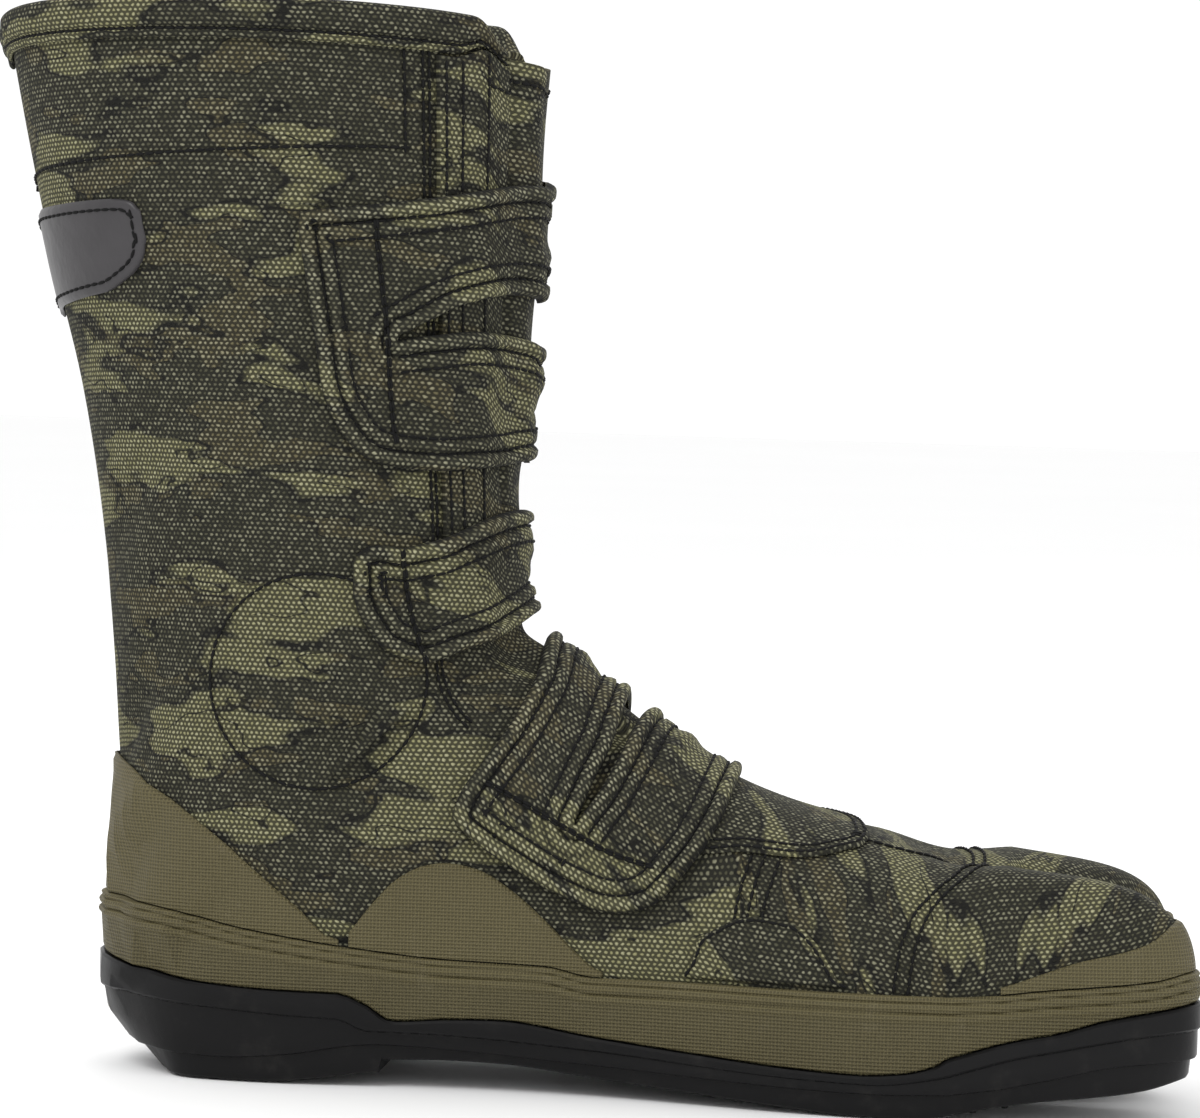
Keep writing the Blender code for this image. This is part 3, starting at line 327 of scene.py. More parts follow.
def cubic_weights(t):
    """Shares of four rows in a curve that runs through the middle two."""
    return (-.5 * t + t**2 - .5 * t**3, 1 - 2.5 * t**2 + 1.5 * t**3,
            .5 * t + 2 * t**2 - 1.5 * t**3, -.5 * t**2 + .5 * t**3)


def section(u):
    """The section at a whole or broken index u, by a cubic through the rows."""
    i = min(int(u), COLLAR - 1)
    t = u - i
    rows = [REAL[min(max(k, 0), COLLAR)] for k in (i - 1, i, i + 1, i + 2)]
    if t == 0:
        return dict(rows[1])
    weights = cubic_weights(t)
    return {c: sum(w * row[c] for w, row in zip(weights, rows)) for c in SECTION_COLUMNS}


LOW_PART = .4              # share of a half section's columns that lies below its widest
LOW_ROUND = 2.1            # power of a section's lower part along its plane
RISE_ROUND = .25           # power of the collar's rise over its sides
CORNER_PLACE = (.78, .08)  # where the collar's round corner starts, and its span
WALL_LEAN = .8             # how far the slit's walls follow the lobes' round
FLAT_END = .45             # feather width, as a share of HEEL_WIDTH, that is still foot


def lobe_top(side, s):
    lobe = dict(zip(LOBE_COLUMNS, LOBES[side]))
    line = lobe["top"] + (lobe["top_end"] - lobe["top"]) * s
    return TOE_HEIGHT * line, max(1 - s ** lobe["top_power"], 0) ** (1 / lobe["top_power"])


def lobe_point(side, s, w, inset=0.0):
    """Point of a toe lobe: s 0 at the slit's root, 1 at the tip; w 0 at the outer
    feather, 1 at the slit's edge, 2 at the foot of the slit's wall."""
    lobe = dict(zip(LOBE_COLUMNS, LOBES[side]))
    root_x = at_length(SECTIONS[ROOT][3]) - inset
    tip_x = at_length(lobe["tip_x"]) - inset
    x = root_x + (tip_x - root_x) * s
    axis = BALL_WIDTH * (lobe["axis_y"] + (lobe["tip_y"] - lobe["axis_y"]) * s)
    outer_line = BALL_WIDTH * (lobe["outer_y"] + (lobe["outer_end"] - lobe["outer_y"]) * s)
    outer_close = max(1 - s ** lobe["outer_power"], 0) ** (1 / lobe["outer_power"])
    inner_close = max(1 - s ** lobe["inner_power"], 0) ** (1 / lobe["inner_power"])
    opening = min((x - root_x) / SLIT_ROUND, 1.0)
    opened = math.sqrt(max(1 - (1 - opening) ** 2, 0))
    wall = BALL_WIDTH * SLIT_Y + side * (SLIT_HALF_GAP + inset) * opened
    outer = axis + (outer_line - side * inset - axis) * outer_close
    inner = axis + (wall - axis) * inner_close
    floor = feather(x)
    top, close = lobe_top(side, s)
    height = (top - inset - floor) * close
    drop = (height - SHOULDER_DROP * close) / height if height > 1e-6 else .85
    edge_angle = math.pi - math.asin(max(drop, .2) ** (LOBE_ROUND / 2))
    if w <= 1:
        angle = w * edge_angle
        rise = math.sin(angle) ** (2 / LOBE_ROUND)
    else:
        rise = drop * (2 - w)
        angle = math.pi - math.asin(max(rise, 0) ** (LOBE_ROUND / 2))
    across = abs(math.cos(angle)) ** (2 / LOBE_ROUND)
    if angle <= math.pi / 2:
        y = axis + (outer - axis) * across
    else:
        edge_across = abs(math.cos(edge_angle)) ** (2 / LOBE_ROUND)
        closed = min(across / edge_across, 1.0)
        y = axis + (inner - axis) * (closed + (across - closed) * opened * WALL_LEAN)
    return Vector((x, y, floor + height * rise))


def form(u, side, w, inset=0.0):
    """Point of the upper: u along the sections, side -1 medial or 1 lateral, w 0 at the
    feather line or back seam and 1 at the front line; inset moves it inwards."""
    row = section(u)
    widest_y, end_y = ((row["medial"], row["end_medial"]) if side < 0
                       else (row["lateral"], row["end_lateral"]))
    on_foot = min(end_y / (HEEL_WIDTH * FLAT_END), 1.0)
    front = Vector((row["front_x"], 0, row["front_h"]))
    back = Vector((row["back_x"], 0, row["back_h"]))
    if u < BACK:
        lift = smooth(u - (BACK - 1))
        back.z = feather(back.x) * (1 - lift) + back.z * lift
    along = (back - front).normalized()
    front += along * inset
    back -= along * inset * (1 - on_foot)
    widest_y -= inset
    end_y = max(end_y - inset, 0.0)
    if w <= LOW_PART:
        a = w / LOW_PART * math.pi / 2
        v = row["widest"] + (1 - row["widest"]) * math.cos(a) ** (2 / LOW_ROUND)
        y = side * (end_y + (widest_y - end_y) * math.sin(a) ** (2 / row["round_low"]))
    else:
        a = (w - LOW_PART) / (1 - LOW_PART) * math.pi / 2
        v = row["widest"] * (1 - math.sin(a) ** (2 / row["round_top"]))
        across = max(math.cos(a), 0.0) ** (2 / row["round_top"])
        y = row["ridge"] + (side * widest_y - row["ridge"]) * across
    point = front + (back - front) * v
    point.y = y
    rise = smooth((u - BACK) / (COLLAR - BACK)) * COLLAR_RISE
    point.z += rise * math.sin(math.pi * min(max(v, 0), 1)) ** RISE_ROUND
    corner = smooth((w - CORNER_PLACE[0]) / CORNER_PLACE[1])
    point.z -= COLLAR_CORNER * smooth(u - COLLAR + 1) * corner
    if u < BLEND_END:
        share = smooth((BLEND_END - u) / (BLEND_END - ROOT))
        lobe = lobe_point(side, 0.0, w, inset)
        lobe.x = point.x - inset * (1 - u / BLEND_END)
        point = point.lerp(lobe, share)
    return point


def lobe_stations(count):
    """Shares along a lobe: one where the slit's round ends, then closer to the tip."""
    first, last, power = .085, .985, 1.15
    return [first + (last - first) * math.sin(k / (count - 1) * math.pi / 2) ** power
            for k in range(count)]


FINE = 8                   # fine rows to each section
HALF = 84                  # columns of half a section
LOBE_FINE = 34
WALL_FINE = 14
OPEN = int(HALF * THROAT_COLUMNS / COLUMNS)
CREASE_UNIT = .0016        # metres for a depth of 1
# Creases: section and place of both ends, half width in mm and depth; a ridge is negative
CREASES = (
    (19.2, -.60, 18.3, -.86, 6.0, 1.0), (17.6, -.70, 16.2, -.95, 6.5, 1.3),
    (16.6, -.64, 15.4, -.84, 5.0, .9), (15.6, -.76, 14.6, -.99, 5.0, 1.5),
    (14.7, -.70, 13.6, -.98, 4.2, -1.2), (13.9, -.78, 12.6, -.97, 4.6, 1.4),
    (13.2, -.60, 11.4, -.80, 5.0, .7), (11.6, -.42, 12.9, -.66, 5.0, 1.4),
    (10.4, -.36, 11.6, -.60, 4.5, -.9), (9.4, -.36, 9.6, -.62, 5.0, 1.3),
    (8.3, -.40, 7.6, -.66, 5.0, .9), (20.0, -.42, 18.8, -.50, 6.0, .8),
    (19.4, .60, 18.2, .88, 6.5, 1.2), (17.4, .50, 15.6, .86, 7.0, 1.5),
    (15.4, .62, 14.2, .99, 5.0, 1.6), (14.2, .66, 13.0, .98, 4.4, -1.1),
    (13.2, .50, 12.4, .86, 5.5, 1.5), (11.4, .36, 12.4, .66, 5.5, 1.6),
    (9.6, .34, 9.8, .66, 5.0, 1.4), (8.2, .40, 7.4, .70, 5.5, 1.0),
    (3.2, .20, 2.2, .46, 5.0, .8), (2.9, -.36, 1.9, -.44, 4.0, .6),
    (1.5, .02, .5, .20, 4.5, .7), (1.3, -.20, .3, -.36, 4.0, .5), (.9, .40, .2, .56, 4.5, .6))


def spot(u, c):
    """Point of the smooth form at section u and place c, -1 medial end to 1 lateral end."""
    if abs(c) > 1 and u > BACK:
        c -= math.copysign(2, c)
    return form(min(max(u, 0), COLLAR), -1 if c < 0 else 1, 1 - min(abs(c), 1.0))


def crease_depth(points):
    """How far the creases draw each point in."""
    depth = np.zeros(len(points))
    for u0, c0, u1, c1, width, deep in CREASES:
        a, b = (np.array(spot(u, c)) for u, c in ((u0, c0), (u1, c1)))
        middle = np.array(spot((u0 + u1) / 2, (c0 + c1) / 2))
        for one, two, taper in ((a, middle, 0), (middle, b, 1)):
            run = two - one
            t = np.clip((points - one) @ run / (run @ run), 0, 1)
            away = np.linalg.norm(points - one - t[:, None] * run, axis=1) / (width * .001)
            along = t if taper == 0 else 1 - t
            piece = deep * CREASE_UNIT * np.exp(-away ** 2) * np.sin(along * math.pi / 2) ** 1.5
            depth = np.where(abs(piece) > abs(depth), piece, depth)
    return depth


def mesh_piece(name, points, faces, finishes, uvs=None, groups=None, smooth_angle=None):
    """A mesh object at the origin from points, faces and UV values for each face corner."""
    mesh = bpy.data.meshes.new(name)
    mesh.from_pydata([tuple(p) for p in points], [], faces)
    for key, values in (uvs or {}).items():
        layer = mesh.uv_layers.new(name=key)
        layer.data.foreach_set("uv", np.asarray(values, dtype=np.float32).ravel())
    for finish in finishes:
        mesh.materials.append(finish)
    if groups is not None:
        mesh.polygons.foreach_set("material_index", groups)
    piece = add_object(name, mesh)
    mesh.shade_smooth()
    if smooth_angle:
        mesh.set_sharp_from_angle(angle=math.radians(smooth_angle))
    return piece


def close(mesh, weld=0.0):
    """Drop loose points, join those nearer than weld and turn the faces outwards."""
    bm = bmesh.new()
    bm.from_mesh(mesh)
    if weld:
        bmesh.ops.remove_doubles(bm, verts=bm.verts, dist=weld)
    bmesh.ops.delete(bm, geom=[v for v in bm.verts if not v.link_faces], context="VERTS")
    if bm.calc_volume(signed=True) < 0:
        bmesh.ops.reverse_faces(bm, faces=bm.faces)
    bm.to_mesh(mesh)
    bm.free()


def solid(name, outer, inner, faces, finishes, uvs, smooth_angle=50):
    """A closed solid between two matching grids; uvs holds one UV pair for each point."""
    count = len(outer)
    edges = {(a, b) for face in faces for a, b in zip(face, face[1:] + face[:1])}
    all_faces = [tuple(f) for f in faces] + [tuple(k + count for k in reversed(f)) for f in faces]
    all_faces += [(b, a, a + count, b + count) for a, b in edges if (b, a) not in edges]
    corner = [k % count for f in all_faces for k in f]
    piece = mesh_piece(name, list(outer) + list(inner), all_faces, finishes,
                       {key: np.asarray(v)[corner] for key, v in uvs.items()},
                       smooth_angle=smooth_angle)
    close(piece.data)
    return piece


def lengths(steps, fixed):
    """Running length along an axis of a grid of steps, 0 at the fixed index."""
    total = np.concatenate([np.zeros((1, *steps.shape[1:])), np.cumsum(steps, axis=0)])
    return total - total[fixed]


def unit(vectors):
    """Vectors of length 1, along an array's last axis."""
    return vectors / np.maximum(np.linalg.norm(vectors, axis=-1, keepdims=True), 1e-15)


# Grid of the leg and foot: rows from the slit's root to the collar, columns round it
rows = COLLAR * FINE + 1
columns = 2 * HALF + 1
LEG = np.array([[spot(r / FINE, (j - HALF) / HALF) for j in range(columns)] for r in range(rows)])
across = np.gradient(LEG, axis=1)
along = np.gradient(LEG, axis=0)
LEG_NORMAL = unit(np.cross(across, along))
LEG_NORMAL[BACK * FINE:, 0] = LEG_NORMAL[BACK * FINE:, -1] = (
    LEG_NORMAL[BACK * FINE:, 1] + LEG_NORMAL[BACK * FINE:, -2]) / 2

# Quarters: weave level round the leg, worked out down each column from the collar
level = unit(np.cross((0, 0, 1), LEG_NORMAL))
rise = np.cross(LEG_NORMAL, level)
step_down = np.diff(LEG, axis=0)
round_collar = lengths(np.linalg.norm(np.diff(LEG[-1], axis=0), axis=1), HALF)
QUARTER_U = lengths((step_down * level[:-1]).sum(2), -1) + round_collar
QUARTER_V = lengths((step_down * rise[:-1]).sum(2), -1)
# Vamp: weave along the foot, worked out from the front line and the slit's edge
side_step = np.diff(LEG, axis=1)
VAMP_V = lengths(np.linalg.norm(side_step, axis=2).T, HALF).T
forward = unit(np.cross(across, LEG_NORMAL))
VAMP_U = lengths((step_down * forward[:-1]).sum(2), 0)

points, weave, index = [], [], {}
for r in range(rows):
    for j in range(columns):
        index[(r, j)] = len(points)
        points.append(LEG[r, j])
        weave.append(((QUARTER_U[r, j], QUARTER_V[r, j]), (VAMP_U[r, j], VAMP_V[r, j])))
faces, panels = [], []
QUARTER_EDGE = 3.3         # section where the quarters are sewn over the vamp
for r in range(rows - 1):
    for j in range(columns - 1):
        if r >= THROAT_FOOT * FINE and abs(j + .5 - HALF) < OPEN:
            continue
        quad = [index[(r, j)], index[(r, j + 1)], index[(r + 1, j + 1)], index[(r + 1, j)]]
        faces.append(tuple(quad))
        panels.append(0 if r >= QUARTER_EDGE * FINE else 1)

for side in (-1, 1):
    stations = [0.0] + lobe_stations(LOBE_FINE) + [.996, 1.0]
    last = HALF + WALL_FINE
    lobe = np.array([[lobe_point(side, s, j / HALF if j <= HALF else 1 + (j - HALF) / WALL_FINE)
                      for j in range(last + 1)] for s in stations])
    lobe[0, :HALF + 1] = LEG[0, :HALF + 1] if side < 0 else LEG[0, :HALF - 1:-1]
    run_v = lengths(np.linalg.norm(np.diff(lobe, axis=1), axis=2).T, 0).T * -side
    run_v += VAMP_V[0, 0 if side < 0 else -1]
    run_u = -lengths(np.linalg.norm(np.diff(lobe[:, :HALF], axis=0), axis=2).mean(1), 0)
    ids = np.zeros(lobe.shape[:2], dtype=int)
    for r in range(len(stations)):
        for j in range(last + 1):
            if r == 0 and j <= HALF:
                ids[r, j] = index[(0, j if side < 0 else 2 * HALF - j)]
                continue
            key = ("tip", side, r) if r == len(stations) - 1 else ("lobe", side, r, j)
            if r == 0:
                key = ("root", j)
            if key not in index:
                index[key] = len(points)
                points.append(lobe[r, j])
                weave.append(((0, 0), (run_u[r], run_v[r, j])))
            ids[r, j] = index[key]
    for r in range(len(stations) - 1):
        for j in range(last):
            quad = [ids[r, j], ids[r + 1, j], ids[r + 1, j + 1], ids[r, j + 1]]
            quad = list(dict.fromkeys(int(k) for k in (quad if side < 0 else quad[::-1])))
            faces.append(tuple(quad))
            panels.append(1)

points = np.array(points)
# The back seam is one line, where the first and last columns meet
for r in range(BACK * FINE, rows):
    first, final = index[(r, 0)], index[(r, columns - 1)]
    points[final] = points[first]
corner_normals = np.zeros_like(points)
for face in faces:
    p = points[list(face)]
    corner_normals[list(face)] += np.cross(p[1] - p[0], p[-1] - p[0])
for r in range(BACK * FINE, rows):
    first, final = index[(r, 0)], index[(r, columns - 1)]
    corner_normals[first] = corner_normals[final] = corner_normals[first] + corner_normals[final]
corner_normals = unit(corner_normals)
if corner_normals[index[(rows - 1, HALF // 2)]][1] > 0:
    corner_normals *= -1
points = points - corner_normals * crease_depth(points)[:, None]
inner_points = points - corner_normals * WALL

# The print: blotches in three olive tones with thin dark outlines, washed out at the yarns
YARN = (.00157, .00115)    # one cell of the weave, along and between the rows
YARN_TONE = (.43, .42, .29)      # bare yarn on top of the weave
YARN_GAP_SHADE = (.006, .006, .005)    # painted shade between the yarns
CREST_TONE = (.36, .35, .23)     # rubbed edges
PAINTED_SHADE_TONE = (.006, .006, .006)   # painted shade in grooves and at turned edges


def yarns(finish):
    """The weave's staggered oval yarn tops, and a chance value for each of them."""
    uv = finish.uv("weave")
    along, down, _ = finish.axes(uv)
    slub, drift, _ = finish.axes(finish.noise(finish.place(uv, (420, 700, 1)), 1.0, 1.0, .5,
                                              "Color"))
    line = finish.plus(finish.math("DIVIDE", down, YARN[1]), finish.times(slub, .45))
    row = finish.math("FLOOR", line)
    half_shift = finish.times(finish.math("MODULO", row, 2.0), .5)
    cell = finish.plus(finish.math("DIVIDE", along, YARN[0]), half_shift)
    cell = finish.plus(cell, finish.times(drift, .9))
    across_cell = finish.minus(finish.math("FRACT", cell), .5)
    down_cell = finish.minus(finish.math("FRACT", line), .5)
    oval = finish.plus(finish.times(finish.math("POWER", across_cell, 2.0), 7.4),
                       finish.times(finish.math("POWER", down_cell, 2.0), 6.4))
    yarn_id = finish.node("CombineXYZ", {0: finish.math("FLOOR", cell), 1: row}).outputs[0]
    chance = finish.node("TexWhiteNoise", {0: yarn_id}, noise_dimensions="3D").outputs[0]
    return finish.ramp(oval, 1.15, .08), chance


def camouflage(finish, tones, print_uv):
    """Long blotches with wandering edges, dark on middle and light over both, outlined."""
    dark, middle, light, ink = tones
    wander = finish.noise(print_uv, 55.0, 2.0, .5, "Color")
    wander = finish.node("VectorMath", {0: wander, 1: (.009, .006, 0)}, operation="MULTIPLY")
    warped = finish.node("VectorMath", {0: print_uv, 1: wander.outputs[0]}, operation="ADD")
    warped = warped.outputs[0]
    blotch = finish.noise(finish.place(warped, (17, 58, 1)), 1.0, 2.4, .52)
    second = finish.noise(finish.place(warped, (30, 80, 1), (7.3, 2.1, 0)), 1.0, 2.2, .55)
    color = finish.mix(finish.ramp(second, .435, .455), middle, dark)
    color = finish.mix(finish.ramp(blotch, .538, .568), color, light)

    def edge_line(field, level, inner, outer):
        away = finish.math("ABSOLUTE", finish.minus(field, level))
        return finish.minus(1.0, finish.ramp(away, inner, outer))

    lines = finish.math("MAXIMUM", edge_line(blotch, .532, .005, .013),
                        edge_line(second, .445, .004, .012))
    broken = finish.ramp(finish.noise(print_uv, 95.0, 2.0), .36, .46)
    return finish.mix(finish.times(finish.times(lines, broken), .92), color, ink)


def canvas(name, tones, stretch=(1.0, 1.0), shift=0.0, turn=0.0):
    """Printed duck, each yarn faded by chance, rubbed pale where the mesh marks wear and
    darkened with painted shade where it marks grooves and edges."""
    finish = Finish(name, .92, Specular_IOR_Level=.25)
    top, chance = yarns(finish)
    print_uv = finish.place(finish.uv("print"), (1 / stretch[0], 1 / stretch[1], 1),
                            (shift, shift * .7, shift * .4), turn)
    color = camouflage(finish, tones, print_uv)
    # per-point value: wear on crests above 0, painted shade in grooves and at edges below 0
    wear_and_shade = finish.node("Attribute", attribute_name="wear_and_shade").outputs["Fac"]
    rubbed = finish.math("MAXIMUM", wear_and_shade, 0.0)
    painted_shade = finish.times(finish.math("MINIMUM", wear_and_shade, 0.0), -1.0)
    fleck = finish.times(top, finish.ramp(chance, .15, 1.0))
    lit = finish.times(fleck, finish.plus(finish.noise(print_uv, 22.0, 3.0, .6), .22))
    lit = finish.times(lit, finish.math("MULTIPLY_ADD", rubbed, .9, 1.0))
    # painted shade: off the yarn tops the print is darkened most of the way to near black
    cloth = finish.mix(top, finish.mix(.84, color, YARN_GAP_SHADE), color)
    cloth = finish.mix(lit, cloth, finish.mix(.50, color, YARN_TONE))
    crest = finish.times(rubbed, finish.math("MULTIPLY_ADD", top, .26, .03))
    cloth = finish.mix(crest, cloth, CREST_TONE)
    # painted shade: grooves and edges darkened towards near black
    cloth = finish.mix(finish.times(painted_shade, .85), cloth, PAINTED_SHADE_TONE)
    normal = finish.bump(finish.math("MULTIPLY_ADD", chance, .25, top), .00042, .85)
    fuzz = finish.noise(finish.uv("weave"), 2600.0, 2.0, .6)
    return finish.paint(cloth, finish.bump(fuzz, .00010, .5, normal))


# dark, middle, light and outline tones
CAMO = ((.055, .054, .033), (.114, .101, .053), (.246, .236, .120), (.004, .004, .003))
quarter_cloth = canvas("quarter canvas", CAMO)
vamp_cloth = canvas("vamp canvas", CAMO, stretch=(.8, 1.3), shift=.31, turn=math.radians(62))
weave = np.array(weave)
count = len(points)
edges = {(a, b) for face in faces for a, b in zip(face, face[1:] + face[:1])}
seam = {index[(r, 0)]: index[(r, columns - 1)] for r in range(BACK * FINE, rows)}
seam.update({v: k for k, v in seam.items()})
rims = [(a, b) for a, b in edges if (b, a) not in edges
        and not (a in seam and b in seam and abs(a - b) != 1)]
all_faces = faces + [tuple(k + count for k in reversed(f)) for f in faces]
all_faces += [(b, a, a + count, b + count) for a, b in rims]
outer_uv = np.array([weave[k, panels[n]] for n, f in enumerate(faces) for k in f])
inner_uv = np.array([weave[k, panels[n]] for n, f in enumerate(faces) for k in reversed(f)])
rim_uv = np.array([weave[k, 0] for a, b in rims for k in (b, a, a, b)])
uv_values = np.concatenate([outer_uv, inner_uv, rim_uv])
groups = panels + panels + [0] * len(rims)
upper = mesh_piece("canvas_upper", np.concatenate([points, inner_points]), all_faces,
                   [quarter_cloth, vamp_cloth], {"weave": uv_values, "print": uv_values}, groups)
close(upper.data, weld=1e-7)
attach(upper, "root")
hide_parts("upper")
SURFACE = BVHTree.FromPolygons([tuple(p) for p in points], faces)


# Sewing thread
# Black lockstitch, about 9 stitches an inch, each stitch bedded in the cloth it holds.
thread = Finish("black thread", .8, Specular_IOR_Level=.15)
fibre = thread.noise(thread.object(), 3000.0, 2.0)
thread.paint(thread.mix(fibre, (.003, .003, .003), (.010, .010, .010)), thread.bump(fibre, .0001))


def stitch_tree():
    """Geometry Nodes: short rounded stitches along the splines of a curve."""
    tree = bpy.data.node_groups.new("stitches", "GeometryNodeTree")
    tree.interface.new_socket("Seam", in_out="INPUT", socket_type="NodeSocketGeometry")
    for name, value in (("Pitch", .0028), ("Length", .0023), ("Radius", .00040)):
        socket = tree.interface.new_socket(name, in_out="INPUT", socket_type="NodeSocketFloat")
        socket.default_value = value
    tree.interface.new_socket("Thread", in_out="INPUT", socket_type="NodeSocketMaterial")
    tree.interface.new_socket("Stitches", in_out="OUTPUT", socket_type="NodeSocketGeometry")

    def add(kind, **settings):
        node = tree.nodes.new(kind)
        for key, value in settings.items():
            setattr(node, key, value)
        return node

    source, result = add("NodeGroupInput"), add("NodeGroupOutput")
    resample = add("GeometryNodeResampleCurve", mode="LENGTH")
    tangent = add("GeometryNodeInputTangent")
    turn = add("FunctionNodeAlignRotationToVector", axis="Z")
    body = add("GeometryNodeMeshUVSphere")
    body.inputs["Segments"].default_value = 6
    body.inputs["Rings"].default_value = 4
    size = add("ShaderNodeCombineXYZ")
    half = add("ShaderNodeMath", operation="MULTIPLY")
    half.inputs[1].default_value = .5
    place = add("GeometryNodeInstanceOnPoints")
    realize, paint = add("GeometryNodeRealizeInstances"), add("GeometryNodeSetMaterial")
    for a, b in ((source.outputs["Seam"], resample.inputs["Curve"]),
                 (source.outputs["Pitch"], resample.inputs["Length"]),
                 (resample.outputs["Curve"], place.inputs["Points"]),
                 (tangent.outputs[0], turn.inputs["Vector"]),
                 (turn.outputs[0], place.inputs["Rotation"]),
                 (body.outputs["Mesh"], place.inputs["Instance"]),
                 (source.outputs["Radius"], size.inputs[0]),
                 (source.outputs["Radius"], size.inputs[1]),
                 (source.outputs["Length"], half.inputs[0]), (half.outputs[0], size.inputs[2]),
                 (size.outputs[0], place.inputs["Scale"]),
                 (place.outputs[0], realize.inputs[0]),
                 (realize.outputs[0], paint.inputs["Geometry"]),
                 (source.outputs["Thread"], paint.inputs["Material"]),
                 (paint.outputs[0], result.inputs["Stitches"])):
        tree.links.new(a, b)
    return tree


STITCHES = stitch_tree()


def sew(name, paths, pitch=.0027, length=.0028, radius=.00046):
    """Stitches along paths of 3-D points, as one mesh piece."""
    line = bpy.data.curves.new(name + "_line", "CURVE")
    line.dimensions = "3D"
    for path in paths:
        spline = line.splines.new("POLY")
        spline.points.add(len(path) - 1)
        for k, p in enumerate(path):
            spline.points[k].co = (*p, 1)
    guide = add_object(name + "_line", line)
    stitch = guide.modifiers.new("stitches", "NODES")
    stitch.node_group = STITCHES
    named = {item.name: item.identifier for item in STITCHES.interface.items_tree
             if item.in_out == "INPUT"}
    for key, value in (("Pitch", pitch), ("Length", length), ("Radius", radius),
                       ("Thread", thread.material)):
        stitch[named[key]] = value
    graph = bpy.context.evaluated_depsgraph_get()
    mesh = bpy.data.meshes.new_from_object(guide.evaluated_get(graph))
    bpy.data.objects.remove(guide)
    piece = add_object(name, mesh)
    mesh.shade_smooth()
    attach(piece, "root")
    return piece


STITCH_LIFT = .0003        # stitches stand out by this


def surface_at(u, c, tree=None, reach=.012):
    """Point on the creased canvas, or on what a tree holds, and the outward normal."""
    step = .04
    point = spot(u, c)
    normal = (spot(u, c + step) - spot(u, c - step)).cross(
        spot(min(u + step, COLLAR), c) - spot(u - step, c)).normalized()
    hit, _, _, _ = (tree or SURFACE).ray_cast(point + normal * reach, -normal, 2 * reach)
    return (hit if hit is not None else point), normal


def seam_line(corners, tree=None, spacing=.0015):
    """A path over the surface through (u, c) corners, smoothed between them."""
    path = []
    for k in range(len(corners) - 1):
        before, one, two, after = (corners[min(max(k + n, 0), len(corners) - 1)]
                                   for n in (-1, 0, 1, 2))
        run = (spot(*two) - spot(*one)).length
        count = max(int(run / spacing), 2)
        for n in range(count + (k == len(corners) - 2)):
            weights = cubic_weights(n / count)
            u, c = (sum(w * p[m] for w, p in zip(weights, (before, one, two, after)))
                    for m in (0, 1))
            point, normal = surface_at(u, c, tree)
            path.append(point + normal * STITCH_LIFT)
    return path


# Seams of the upper: the hem under the collar, the strips beside the throat, the circle over
# the ankle bone, and the twin rows that join vamp, toe pieces and quarters
ANKLE_RING = {-1: .0179, 1: .0129}   # x of the circle's middle
ANKLE_HEIGHT = .1025
ANKLE_RADIUS = .0272
ANKLE_STEPS = 40
upper_seams = []
for side, x in ANKLE_RING.items():
    ring = []
    for k in range(ANKLE_STEPS + 1):
        a = math.pi * 2 * k / ANKLE_STEPS
        start = Vector((x + ANKLE_RADIUS * math.cos(a), side * .09,
                        ANKLE_HEIGHT + ANKLE_RADIUS * math.sin(a)))
        hit, normal, _, _ = SURFACE.ray_cast(start, Vector((0, -side, 0)))
        ring.append(hit + normal * STITCH_LIFT)
    upper_seams.append(ring)
for side in (-1, 1):
    upper_seams += [
        seam_line([(19.70, side * c) for c in (.365, .45, .56, .70, .84, .96, 1.0)]),
        seam_line([(20.9, side * .364), (20.3, side * .364), (19.7, side * .365)]),
        *(seam_line([(u, side * (edge + .02 * max(11 - u, 0) / 3))
                     for u in (20.8, 18, 15, 12, 10, 8)]) for edge in (.318, .330)),
        seam_line([(3.20, side * .28), (3.32, side * .35), (3.44, side * .44), (3.5, side * .54)]),
        seam_line([(3.02, side * .28), (3.14, side * .35), (3.26, side * .44), (3.32, side * .54)]),
        seam_line([(2.80, side * .274), (2.92, side * .35), (3.04, side * .424),
                   (3.1, side * .53)])]
upper_seams += [
    seam_line([(1.68, -.110), (1.12, -.10), (.56, .03), (.14, -.02)]),
    seam_line([(.40, -.02), (.46, -.14), (.64, -.262), (.88, -.37), (1.12, -.43), (1.28, -.502),
               (1.36, -.568), (1.42, -.61), (1.47, -.65)]),
    seam_line([(.26, -.04), (.34, -.17), (.50, -.285), (.72, -.385), (.94, -.45), (1.10, -.52),
               (1.18, -.58), (1.24, -.62), (1.29, -.66)]),
    seam_line([(.52, .04), (.56, .16), (.80, .30), (1.08, .42), (1.22, .50), (1.34, .60)]),
    seam_line([(.38, .05), (.42, .18), (.62, .32), (.90, .44), (1.06, .52), (1.16, .61)])]
sew("upper_stitches", upper_seams)


# Gusset
# A bellows of single canvas behind the straps, sewn down both sides of the throat and folded
# twice so that it opens out when the straps are let go.
GUSSET_WALL = 0.0017
BINDING_WALL = 0.0013
BINDING_DEPTH = 0.0088
BINDING_END = 0.0030       # its depth at the throat
# section, lift at the gusset's edge and lift at its front
GUSSET = ((11.4, .0021, .0021), (15.0, .0021, .0025), (16.6, .0021, .0046),
          (19.5, .0021, .0052), (20.92, .0021, .0062))
GUSSET_EDGE = .305         # c where it is sewn on
GUSSET_FOLD = .115         # c of the crease beside the throat
FOLD_DEPTH = .0013
FOLD_SPAN = .024           # half the crease's width
BULGE_SPAN = .075          # over which the sheet rises from its edge to its front


def bulge(u, c):
    """Lift of the gusset's outer face, without its crease."""
    edge = curve([(row[0], row[1]) for row in GUSSET], u)
    front = curve([(row[0], row[2]) for row in GUSSET], u)
    return edge + (front - edge) * smooth((GUSSET_FOLD - abs(c)) / BULGE_SPAN)


def binding_depth(w):
    """The binding narrows towards the throat."""
    return BINDING_DEPTH - (BINDING_DEPTH - BINDING_END) * smooth((w - .72) / .13)


